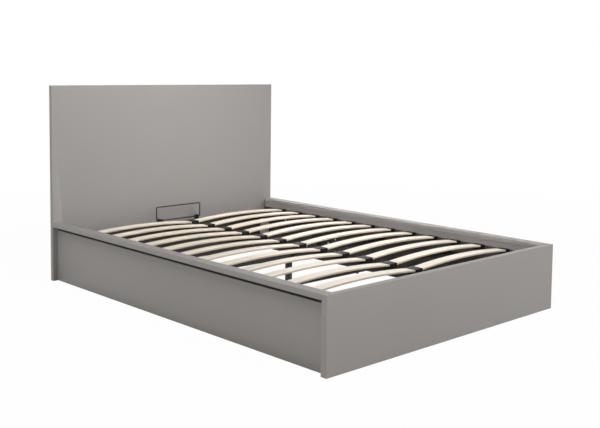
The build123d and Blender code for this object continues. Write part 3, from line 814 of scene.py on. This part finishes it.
def centre_cap():
    """The double cap on the centre beam, with a pocket each way and a dip between them."""
    y = row_y[1]
    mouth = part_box("centre_caps")[1].x
    low = (-mouth, y - cap_half_width, frame_top)
    high = (mouth, y + cap_half_width, lid_height(mouth))
    piece = new_block("centre_cap", low, high)
    open_piece(piece, "SELECT")
    bpy.ops.mesh.bisect(plane_co=(0, y, 0), plane_no=(1, 0, 0))
    pick(piece, "VERT", lambda point: abs(point.co.x) < 0.001 and point.co.z > frame_top + 0.001)
    bpy.ops.transform.translate(value=(0, 0, lid_height(slat_inner_end) - lid_height(mouth)))
    close_piece()
    for facing in (-1, 1):
        pocket(piece, mouth, mouth - slat_inner_end, facing)
    open_piece(piece)
    pick(piece, "EDGE", lambda edge: edge_along(edge, (0, 1, 0)) and abs(edge_middle(edge).x) < 0.001)
    bpy.ops.mesh.bevel(offset=cap_dip, segments=3)
    close_piece()
    round_edges(piece, cap_ease)
    return add_peg(piece, 0, y)


def add_peg(cap, x, y):
    """The split peg that snaps into the tube under a cap."""
    low = (x - peg_half, y - peg_half, frame_top - peg_drop)
    peg = new_block("peg", low, (x + peg_half, y + peg_half, frame_top + 0.001))
    open_piece(peg)
    pick(peg, "FACE", lambda face: face.normal.z < -0.9)
    bpy.ops.mesh.bevel(offset=0.001, segments=2)
    close_piece()
    made = join([cap, peg], cap.name)
    smooth(made)
    return made


tube_low, tube_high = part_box("side_tube_right")
tube_middle_x = (tube_low.x + tube_high.x) / 2
side_master = side_cap()
centre_master = centre_cap()
half_turn_about = {"right": Matrix.Identity(4), "left": Matrix.Rotation(pi, 4, "Z")}
for row in rows:
    to_row = Matrix.Translation((0, row_y[row], 0))
    home = Matrix.Translation((0, -row_y[1], 0))
    for side in sides:
        move = to_row @ half_turn_about[side] @ home
        cap = copy_of(side_master, f"side_cap_{row:02d}_{side}", move)
        finished(cap, black_plastic, "black_plastic", f"side_caps_{side}")
    cap = copy_of(centre_master, f"centre_cap_{row:02d}", to_row @ home)
    finished(cap, black_plastic, "black_plastic", "centre_caps")
bpy.data.objects.remove(side_master)
bpy.data.objects.remove(centre_master)

# Frame and mechanism nodes whose shapes are right
steel_nodes = ["head_tube", "foot_tube", "centre_beam", "centre_leg"]
steel_nodes += [f"side_tube_{side}" for side in sides]
steel_nodes += [f"cross_bar_{name}" for name in ("foot", "middle", "head")]
for side in sides:
    for kind in ("base_plate", "upper_bracket", "rest_bracket"):
        steel_nodes.append(f"{kind}_{side}")
for node in steel_nodes:
    dressed(node, black_steel, "frame_steel", steel_bevel)
dressed("corner_brackets", zinc, "fastener_steel", steel_bevel)
dressed("tube_end_plugs", black_plastic, "black_plastic", 0.0008)
dressed("leg_glide", black_plastic, "black_plastic", 0.0015)


# Fasteners: each kind is made once at the origin, with its seat at z = 0 and its shank upwards
def hex_bar(name, across, low, high):
    """A hexagonal bar along Z, with the corners at both its ends turned off."""
    corner = across / sqrt(3)
    bar = new_rod(name, (0, 0, low), (0, 0, high), corner, 6)
    chamfer = across * 0.1
    outline = [(low, corner - chamfer), (low + chamfer * 0.6, corner)]
    outline += [(high - chamfer * 0.6, corner), (high, corner - chamfer)]
    cut(bar, turned("lathe", outline, 48), "INTERSECT")
    return bar


def screw_thread(radius, pitch, low, high):
    """A helical ridge of triangular section."""
    section = {"vertices": 3, "radius": pitch * 0.55, "fill_type": "NGON"}
    place = {"location": (radius - pitch * 0.5, 0, low + pitch / 2), "rotation": (pi / 2, pi / 2, 0)}
    ridge = new_piece("ridge", bpy.ops.mesh.primitive_circle_add, **section, **place)
    turns = int((high - low) / pitch) - 1
    modify(ridge, "SCREW", axis="Z", screw_offset=pitch, iterations=turns, steps=18, render_steps=18)
    open_piece(ridge)
    bpy.ops.mesh.select_mode(type="EDGE")
    bpy.ops.mesh.select_non_manifold()
    bpy.ops.mesh.fill_holes(sides=0)
    close_piece()
    face_out(ridge)
    return ridge


def hex_bolt(length, bare):
    """A bolt with a hexagonal head, bare up to a height and threaded above it."""
    head = hex_bar("hex_bolt", bolt_across, -bolt_head, 0)
    washer_face = turned("washer_face", [(-0.0002, 0.0058), (0.0003, 0.0058)], 32)
    outline = [(-0.001, bolt_radius), (bare, bolt_radius), (bare + 0.0006, bolt_core)]
    outline += [(length - 0.0012, bolt_core), (length, bolt_core - 0.0009)]
    shank = turned("shank", outline, 24)
    ridge = screw_thread(bolt_radius, bolt_pitch, bare, length - 0.0008)
    bolt = join([head, washer_face, shank, ridge], "hex_bolt")
    smooth(bolt, 30)
    return bolt


def pan_screw(radius, length, head_radius, rise, socket):
    """A round-headed screw with a hexagonal socket and a threaded shank."""
    head = [(0, head_radius * 0.96), (-rise * 0.15, head_radius), (-rise * 0.45, head_radius * 0.96)]
    head += [(-rise * 0.8, head_radius * 0.8), (-rise, head_radius * 0.55)]
    dome = turned("pan_screw", head, 36)
    key = new_rod("key", (0, 0, -rise * 1.2), (0, 0, -rise * 0.35), socket / sqrt(3), 6)
    cut(dome, key)
    core = radius * 0.84
    shank = [(-rise * 0.1, core), (length - radius, core), (length, radius * 0.5)]
    ridge = screw_thread(radius, radius * 0.36, radius * 0.4, length - radius * 0.3)
    screw = join([dome, turned("shank", shank, 20), ridge], "pan_screw")
    smooth(screw, 30)
    return screw


def hex_nut():
    """A nut, centred on the origin."""
    nut = hex_bar("hex_nut", nut_across, -nut_half, nut_half)
    bore = [(-0.0045, 0.0052), (-0.0028, 0.0038), (0.0028, 0.0038), (0.0045, 0.0052)]
    cut(nut, turned("bore", bore, 24))
    smooth(nut, 30)
    return nut


places = {"upright": [], "level": [], "leg": [], "small": []}
for low, high in solids_of("frame_bolts"):
    size, middle = high - low, (low + high) / 2
    if size.x > 0.04:
        side = 1 if middle.x > 0 else -1
        seat = ((high.x if side > 0 else low.x) - side * bolt_head, middle.y, middle.z)
        places["level"].append((seat, (-side, 0, 0), size.x - bolt_head))
    elif size.y > 0.04:
        places["leg"].append(((middle.x, low.y + bolt_head, middle.z), (0, 1, 0), size.y - bolt_head))
    elif size.z > 0.05:
        seat = (middle.x, middle.y, low.z + bolt_head)
        places["upright"].append((seat, (0, 0, 1), bolt_tip - low.z - bolt_head))
    else:
        seat = (middle.x, middle.y, high.z - small_head)
        places["small"].append((seat, (0, 0, -1), size.z - small_head))
for kind, found in places.items():
    threaded = upright_thread if kind == "upright" else other_thread
    for number, (seat, direction, length) in enumerate(found, start=1):
        if kind == "small":
            made = pan_screw(0.0025, length, 0.005, small_head, 0.003)
        else:
            made = hex_bolt(length, length - threaded)
        made.data.transform(along(seat, direction))
        made.name = f"{kind}_bolt_{number}"
        finished(made, black_zinc, "fastener_steel", "frame_bolts")

nut_master = hex_nut()
for number, (low, high) in enumerate(solids_of("frame_nuts"), start=1):
    size = high - low
    thin = min(range(3), key=lambda i: size[i])
    direction = [0, 0, 0]
    direction[thin] = 1
    nut = copy_of(nut_master, f"nut_{number}", along((low + high) / 2, direction))
    finished(nut, black_zinc, "fastener_steel", "frame_nuts")
bpy.data.objects.remove(nut_master)

screw_master = pan_screw(0.003, panel_screw_length, 0.006, 0.003, 0.004)
for number, (low, high) in enumerate(solids_of("panel_bolts"), start=1):
    size, middle = high - low, (low + high) / 2
    if size.x > size.y:
        direction = (1 if middle.x > 0 else -1, 0, 0)
    else:
        direction = (0, 1 if middle.y > 0 else -1, 0)
    outer = middle + Vector(direction) * max(size.x, size.y) / 2
    seat = outer - Vector(direction) * panel_screw_length
    screw = copy_of(screw_master, f"panel_screw_{number:02d}", along(seat, direction))
    finished(screw, zinc, "fastener_steel", "panel_bolts")
bpy.data.objects.remove(screw_master)


# Pivot pins and studs, turned in steps with domed heads
def pin_profile(*steps):
    """The outline of a stepped pin: each step is its first height, last height and radius."""
    outline = []
    for low, high, radius in steps:
        ease = min(0.0004, (high - low) / 3)
        outline += [(low, radius - ease), (low + ease, radius), (high - ease, radius), (high, radius - ease)]
    return outline


for number, (low, high) in enumerate(solids_of("base_pivot_pins"), start=1):
    size, middle = high - low, (low + high) / 2
    side = 1 if middle.x > 0 else -1
    stem, rim, flange = (0.005, 0.008, 0.0012) if size.y > 0.0145 else (0.004, 0.0065, 0.0015)
    outline = pin_profile((0, size.x - flange, stem), (size.x - flange, size.x, rim))
    move = along((high.x if side > 0 else low.x, middle.y, middle.z), (-side, 0, 0))
    lathed(f"base_pin_{number}", outline, move, zinc, "fastener_steel", "base_pivot_pins")

frame_pin_steps = [(0, 0.0012, 0.008), (0.0012, 0.0052, 0.005), (0.0052, 0.0069, 0.008)]
frame_pin_steps += [(0.0069, 0.0115, 0.005), (0.0115, 0.0127, 0.008)]
for number, (low, high) in enumerate(solids_of("frame_pivot_pins"), start=1):
    middle = (low + high) / 2
    side = 1 if middle.x > 0 else -1
    move = along((low.x if side > 0 else high.x, middle.y, middle.z), (side, 0, 0))
    outline = pin_profile(*frame_pin_steps)
    lathed(f"frame_pin_{number}", outline, move, zinc, "fastener_steel", "frame_pivot_pins")


# Links: the pressed plate of the CAD, and a turned stud or pin riveted into it
def link(node, side, steps):
    """One link of a side's linkage. Its stud's steps are worked out from how far the stud reaches."""
    low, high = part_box(node)
    sign = sides[side]
    plate = copy_of_node(node, f"{node}.plate")
    inner_face = (high.x - link_plate) if sign > 0 else (low.x + link_plate)
    reach = (high.x - low.x) - link_plate
    tip = [point.co for point in plate.data.vertices if (point.co.x - inner_face) * sign < -reach * 0.9]
    y, z = (sum(point[axis] for point in tip) / len(tip) for axis in (1, 2))
    near_x, far_x = sorted((inner_face + sign * hair, inner_face - sign * (reach + 0.01)))
    room = Vector((0, 0.01, 0.01))
    stub_high = Vector((far_x, high.y, high.z)) + room
    cut(plate, new_block("stub", Vector((near_x, low.y, low.z)) - room, stub_high))
    face_out(plate)
    round_edges(plate, steel_bevel)
    smooth(plate)
    finished(plate, black_steel, "frame_steel", node)
    move = along((inner_face, y, z), (-sign, 0, 0))
    lathed(f"{node}.stud", pin_profile(*steps(reach)), move, zinc, "frame_steel", node)


def stud_steps(reach):
    return [(-0.001, 0.0012, 0.0062), (0.0012, reach - 0.0015, 0.004), (reach - 0.0015, reach, 0.0065)]


def open_pin_steps(reach):
    return [(-0.001, 0.0006, 0.0066), (0.0006, reach - 0.0012, 0.005), (reach - 0.0012, reach, 0.007)]


for side in sides:
    link(f"long_link_{side}", side, stud_steps)
    link(f"short_link_{side}", side, open_pin_steps)


# Gas struts: a painted cylinder crimped at both ends, a polished rod, and an eye on each
strut_low = Vector((0, 0.442, 0.040))
strut_high = Vector((0, 0.56185, 0.15202))
strut_run = (strut_high - strut_low).normalized()
strut_length = (strut_high - strut_low).length
eye_wall = 0.0036
eye_half_width = 0.006


def strut_eye(name, centre, bore):
    """A ring across the bed, with its edges eased and its bore open."""
    sideways = Vector((eye_half_width, 0, 0))
    ring = new_rod(name, centre - sideways, centre + sideways, bore + eye_wall, 48)
    cut(ring, new_rod("bore", centre - 2 * sideways, centre + 2 * sideways, bore, 48))
    round_edges(ring, 0.0006, 2, 50)
    return ring


def gas_strut(side):
    """A side's strut: the cylinder with its lower eye, and the rod with its upper one."""
    node = f"strut_cylinder_{side}"
    low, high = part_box(node)
    across = Vector(((low.x + high.x) / 2, 0, 0))
    foot = strut_low + across
    head = strut_high + across
    to_strut = along(foot, strut_run)
    tube = [(0.0125, 0.0062), (0.0128, 0.0078), (0.0145, 0.0088), (0.0160, 0.0090)]
    tube += [(0.1120, 0.0090), (0.1128, 0.0084), (0.1146, 0.0084), (0.1154, 0.0090)]
    tube += [(0.1225, 0.0090), (0.1240, 0.0086), (0.1250, 0.0074), (0.1250, 0.0052), (0.1240, 0.0048)]
    body = turned(f"{node}.tube", tube, 56)
    neck = turned("neck", [(0.0060, 0.0050), (0.0105, 0.0050), (0.0110, 0.0056), (0.0130, 0.0056)], 32)
    body = join([body, neck], f"{node}.tube")
    body.data.transform(to_strut)
    smooth(body)
    finished(body, black_steel, "frame_steel", node)
    eye = strut_eye(f"{node}.eye", foot, 0.00405)
    smooth(eye)
    finished(eye, zinc, "frame_steel", node)

    node = f"strut_rod_{side}"
    shaft = [(0.0590, 0.0036), (0.0594, 0.0040), (strut_length - 0.0106, 0.0040)]
    lathed(f"{node}.shaft", shaft, to_strut, chrome, "bright_steel", node)
    eye = strut_eye(f"{node}.eye", head, 0.0074)
    collar = [(strut_length - 0.0175, 0.0050), (strut_length - 0.0171, 0.0056)]
    collar.append((strut_length - 0.0098, 0.0056))
    neck = turned("collar", collar, 32)
    neck.data.transform(to_strut)
    eye = join([eye, neck], f"{node}.eye")
    smooth(eye)
    finished(eye, zinc, "bright_steel", node)


for side in sides:
    gas_strut(side)

# Rubber buffers on the rests, and rubber sleeves on the retaining bar
for number, (low, high) in enumerate(solids_of("rest_buffers"), start=1):
    middle = (low + high) / 2
    pad = [(low.z, 0.0090), (low.z + 0.0006, 0.0090), (high.z - 0.0010, 0.0086), (high.z - 0.0003, 0.0078)]
    pad += [(high.z, 0.0066), (high.z, 0.0040), (high.z - 0.0008, 0.0034)]
    move = Matrix.Translation((middle.x, middle.y, 0))
    lathed(f"rest_buffer_{number}", pad, move, rubber, "black_rubber", "rest_buffers")

for number, (low, high) in enumerate(solids_of("bar_sleeves"), start=1):
    middle = (low + high) / 2
    radius = (high.z - low.z) / 2 - 0.00005
    half = (high.x - low.x) / 2
    outline = [(-half, 0.0038), (-half, radius - 0.0008), (-half + 0.0008, radius)]
    for step in (-0.0035, 0, 0.0035):
        outline += [(step - 0.0009, radius), (step - 0.0005, radius - 0.0007)]
        outline += [(step + 0.0005, radius - 0.0007), (step + 0.0009, radius)]
    outline += [(half - 0.0008, radius), (half, radius - 0.0008), (half, 0.0038)]
    move = along(middle, (1, 0, 0))
    lathed(f"bar_sleeve_{number}", outline, move, rubber, "black_rubber", "bar_sleeves")

# Bar clamps: a base and a cover that grip the wire between them
for number, (low, high) in enumerate(solids_of("bar_clamps"), start=1):
    wire_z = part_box("retaining_bar")[0].z + wire_radius
    halves = []
    for bottom, top in ((low.z, wire_z - 0.0003), (wire_z + 0.0003, high.z)):
        half = new_block("clamp_half", (low.x, low.y, bottom), (high.x, high.y, top))
        open_piece(half)
        pick(half, "EDGE", lambda edge: edge_along(edge, (0, 0, 1)))
        bpy.ops.mesh.bevel(offset=0.0035, segments=4)
        pick(half, "FACE", lambda face: face.normal.y < -0.95)
        bpy.ops.mesh.inset(thickness=0.0016, depth=-0.0008)
        close_piece()
        round_edges(half, 0.0006)
        halves.append(half)
    clamp = join(halves, f"bar_clamp_{number}")
    smooth(clamp)
    finished(clamp, black_plastic, "black_plastic", "bar_clamps")


# Weld beads where the tubes of the lifting frame meet
def weld_bead(name, start, end, radius=0.0016):
    """A row of overlapping drops, half sunk in the joint."""
    start, end = Vector(start), Vector(end)
    run = end - start
    count = max(2, round(run.length / (radius * 0.75)))
    add = bpy.ops.mesh.primitive_uv_sphere_add
    bead = new_piece(name, add, segments=10, ring_count=6, radius=radius, location=start)
    repeat(bead, count, run / (count - 1))
    smooth(bead, 60)
    return bead


weld_seams = []
tube_bottom = tube_low.z
for node in ("foot_tube", "head_tube"):
    low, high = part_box(node)
    inner_y = high.y if node == "foot_tube" else low.y
    for sign in sides.values():
        x = sign * high.x
        weld_seams.append(((x, low.y + 0.003, frame_top), (x, high.y - 0.001, frame_top)))
        weld_seams.append(((x, inner_y, tube_bottom + 0.002), (x, inner_y, frame_top - 0.002)))
        beam_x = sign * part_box("centre_beam")[1].x
        weld_seams.append(((beam_x, inner_y, tube_bottom + 0.002), (beam_x, inner_y, frame_top - 0.002)))
    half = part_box("centre_beam")[1].x - 0.001
    weld_seams.append(((-half, inner_y, frame_top), (half, inner_y, frame_top)))
beads = [weld_bead(f"bead_{number}", *seam) for number, seam in enumerate(weld_seams, start=1)]
finished(join(beads, "weld_beads"), black_steel, "frame_steel")


# Retaining bar: a wire bent into a closed loop
def retaining_bar():
    """The wire is drawn from the middle of its lower run through four bends, back to its start."""
    low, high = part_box("retaining_bar")
    y = (low.y + high.y) / 2
    bottom, top = low.z + wire_radius, high.z - wire_radius
    reach = high.x - wire_radius - wire_bend
    rise = top - bottom - 2 * wire_bend
    place = {"location": (0, y, bottom), "rotation": (0, pi / 2, 0)}
    add = bpy.ops.mesh.primitive_circle_add
    piece = new_piece("bent_wire", add, vertices=20, radius=wire_radius, **place)
    open_piece(piece)
    bpy.ops.mesh.select_mode(type="EDGE")
    bpy.ops.mesh.select_all(action="SELECT")
    runs = [
        ((reach, 0, 0), (reach, bottom + wire_bend)),
        ((0, 0, rise), (reach, top - wire_bend)),
        ((-2 * reach, 0, 0), (-reach, top - wire_bend)),
        ((0, 0, -rise), (-reach, bottom + wire_bend)),
    ]
    for run, (turn_x, turn_z) in runs:
        extrude(run)
        bpy.ops.mesh.spin(steps=10, angle=pi / 2, center=(turn_x, y, turn_z), axis=(0, 1, 0))
    extrude((reach, 0, 0))
    close_piece()
    face_out(piece)
    smooth(piece, 60)
    return finished(piece, black_steel, "frame_steel", "retaining_bar")


retaining_bar()


# Lift strap: webbing sewn double at its ends, which bows up between its two bolts
def lift_strap():
    low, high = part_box("lift_strap")
    y = (low.y + high.y) / 2
    width = high.y - low.y
    length = high.x - low.x
    fineness = {"x_subdivisions": 72, "y_subdivisions": 12}
    add, stretch = bpy.ops.mesh.primitive_grid_add, (length, width, 1)
    piece = new_piece("webbing_strap", add, stretch, size=1, location=(0, y, low.z), **fineness)
    arch = (strap_span**2 / 4 + strap_rise**2) / (2 * strap_rise)
    mesh = piece.data
    marks = mesh.uv_layers.active.data
    for loop in mesh.loops:
        point = mesh.vertices[loop.vertex_index].co
        marks[loop.index].uv = (point.x - low.x, (point.y - low.y) / width)
    for point in mesh.vertices:
        if abs(point.co.x) < strap_span / 2:
            point.co.z += sqrt(arch**2 - point.co.x**2) - arch + strap_rise
        point.co.z += strap_thickness / 2
    modify(piece, "SOLIDIFY", thickness=strap_thickness * 0.8, offset=0)
    round_edges(piece, 0.0006, 2, 50)
    smooth(piece, 50)
    finished(piece, woven, "black_webbing", "lift_strap")
    return piece


def strap_stitches():
    """A box of stitches round each bolt of the strap."""
    low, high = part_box("lift_strap")
    top = low.z + strap_thickness * 0.9
    y_from, y_to = low.y + 0.003, high.y - 0.003
    rows_of_stitches = []
    for sign in sides.values():
        x_from, x_to = sign * (strap_span / 2 + 0.004), sign * (high.x - 0.004)
        corners = [(x_from, y_from), (x_to, y_from), (x_to, y_to), (x_from, y_to), (x_from, y_from)]
        for (x1, y1), (x2, y2) in zip(corners, corners[1:]):
            run = Vector((x2 - x1, y2 - y1, 0))
            count = round(run.length / stitch_pitch)
            step = run / count
            start = Vector((x1, y1, top)) + step / 2
            stretch = (stitch_stretch, 1, 1) if abs(run.x) > abs(run.y) else (1, stitch_stretch, 1)
            ball = {"segments": 8, "ring_count": 6, "radius": stitch_radius, "location": start}
            stitch = new_piece("stitch", bpy.ops.mesh.primitive_uv_sphere_add, stretch, **ball)
            repeat(stitch, count, step)
            rows_of_stitches.append(stitch)
    made = join(rows_of_stitches, "strap_stitches")
    smooth(made, 60)
    return finished(made, sewing, "black_webbing")


lift_strap()
strap_stitches()


# Floor, light and camera
def studio_floor():
    """A white floor that the camera sees near white all over, with the bed's own soft shadow."""
    bpy.ops.object.select_all(action="DESELECT")
    bpy.ops.mesh.primitive_plane_add(size=60, location=(0, 0, -0.0005))
    floor = bpy.context.object
    floor.name = "floor"
    finish = Finish("studio_floor", (255, 255, 255), 0.9)
    across, along_bed, _ = finish.axes()
    # Painted shade: under the bed the floor throws back almost no light, which darkens the storage room
    under_bed = (abs(across) < cad_bounds[1].x) * (abs(along_bed) < cad_bounds[1].y)
    tone = finish.mix(under_bed, (*[floor_grey] * 3, 1), (*[floor_shade_under_bed] * 3, 1))
    grey = finish.node("ShaderNodeBsdfDiffuse", None, {"Color": tone})
    white = finish.node("ShaderNodeBsdfDiffuse", None, {"Color": (*[floor_white] * 3, 1)})
    glow = finish.node("ShaderNodeEmission", None, {"Color": (1, 1, 1, 1), "Strength": 1.0})
    from_middle = finish.node("ShaderNodeVectorMath", {"operation": "LENGTH"}, {0: finish.place()}, "Value")
    share = floor_glow + from_middle.between(*floor_fade) * (1 - floor_glow)
    shown = finish.node("ShaderNodeMixShader", None, {0: share, 1: white, 2: glow})
    both = finish.node("ShaderNodeMixShader", None, {0: finish.seen(), 1: grey, 2: shown})
    finish.feed(finish.tree.nodes["Material Output"].inputs["Surface"], both)
    floor.data.materials.append(finish.material)


def studio_world():
    """White behind the bed, and an even soft light from all round."""
    world = bpy.data.worlds.new("studio")
    bpy.context.scene.world = world
    world.use_nodes = True
    nodes = Nodes(world.node_tree)
    strength = {"Value": nodes.seen(), "To Min": world_light, "To Max": 1.0}
    background = nodes.tree.nodes["Background"]
    nodes.feed(background.inputs["Strength"], nodes.node("ShaderNodeMapRange", None, strength))
    nodes.feed(background.inputs["Color"], (1, 1, 1, 1))


def soft_box(name, place, aim_at, size, power, spread):
    """A large lamp at a place, which looks at a point. Its size is level and upright."""
    lamp = bpy.data.lights.new(name, "AREA")
    lamp.shape = "RECTANGLE"
    lamp.size, lamp.size_y = size
    lamp.energy = power
    lamp.spread = radians(spread)
    made = bpy.data.objects.new(name, lamp)
    bpy.context.scene.collection.objects.link(made)
    aim = Vector(aim_at) - Vector(place)
    made.matrix_world = Matrix.Translation(place) @ aim.to_track_quat("-Z", "Y").to_matrix().to_4x4()


floor_grey = 0.6
# Painted shade: the light that the floor throws back under the bed, nearly none, to darken the storage room
floor_shade_under_bed = 0.03
floor_white = 0.95
floor_glow = 0.972
floor_fade = (2.2, 5.0)
world_light = 0.16
# Each lamp's place, the point it looks at, its size, its power and its spread in degrees
lamps = {
    "lamp_over": ((-4.0, -0.5, 9.5), (0, 0, 0.3), (5.0, 5.0), 330.0, 180),
    "lamp_front": ((4.0, -14.0, 6.0), (0, 0, 0.3), (7.0, 7.0), 1090.0, 180),
    "lamp_side": ((-14.0, -2.0, 1.8), (0, 0, 0.3), (3.0, 3.0), 430.0, 180),
    "lamp_head": ((0.6, -3.2, 3.4), (0, 0.96, 0.3), (1.2, 1.2), 3.5, 30),
    "lamp_rail": ((-2.3, -0.1, 3.5), (0.675, -0.1, 0.28), (2.2, 0.4), 1.9, 22),
    "lamp_back": ((10.0, 10.0, 5.0), (0, 0, 0.4), (6.0, 6.0), 120.0, 180),
}
studio_floor()
studio_world()
for name, settings in lamps.items():
    soft_box(name, *settings)

camera_place = (-2.9406, -3.1827, 1.0805)
camera_heading = radians(43.341)
camera_down = radians(4.617)
camera_roll = radians(-0.657)
camera_lens = 55.01
camera_shift = -0.12


def studio_camera():
    """The photograph's view: its heading from +Y towards +X, its dip and its small roll."""
    data = bpy.data.cameras.new("camera")
    data.lens = camera_lens
    data.sensor_width = 36
    data.shift_y = camera_shift
    data.clip_end = 200
    made = bpy.data.objects.new("camera", data)
    bpy.context.scene.collection.objects.link(made)
    level = cos(camera_down)
    forward = Vector((sin(camera_heading) * level, cos(camera_heading) * level, -sin(camera_down)))
    right = Vector((cos(camera_heading), -sin(camera_heading), 0))
    above = right.cross(forward)
    x_axis = right * cos(camera_roll) - above * sin(camera_roll)
    y_axis = right * sin(camera_roll) + above * cos(camera_roll)
    turn = Matrix((x_axis, y_axis, -forward)).transposed()
    made.matrix_world = Matrix.Translation(camera_place) @ turn.to_4x4()
    bpy.context.scene.camera = made


studio_camera()
bpy.context.scene.view_settings.view_transform = "Standard"
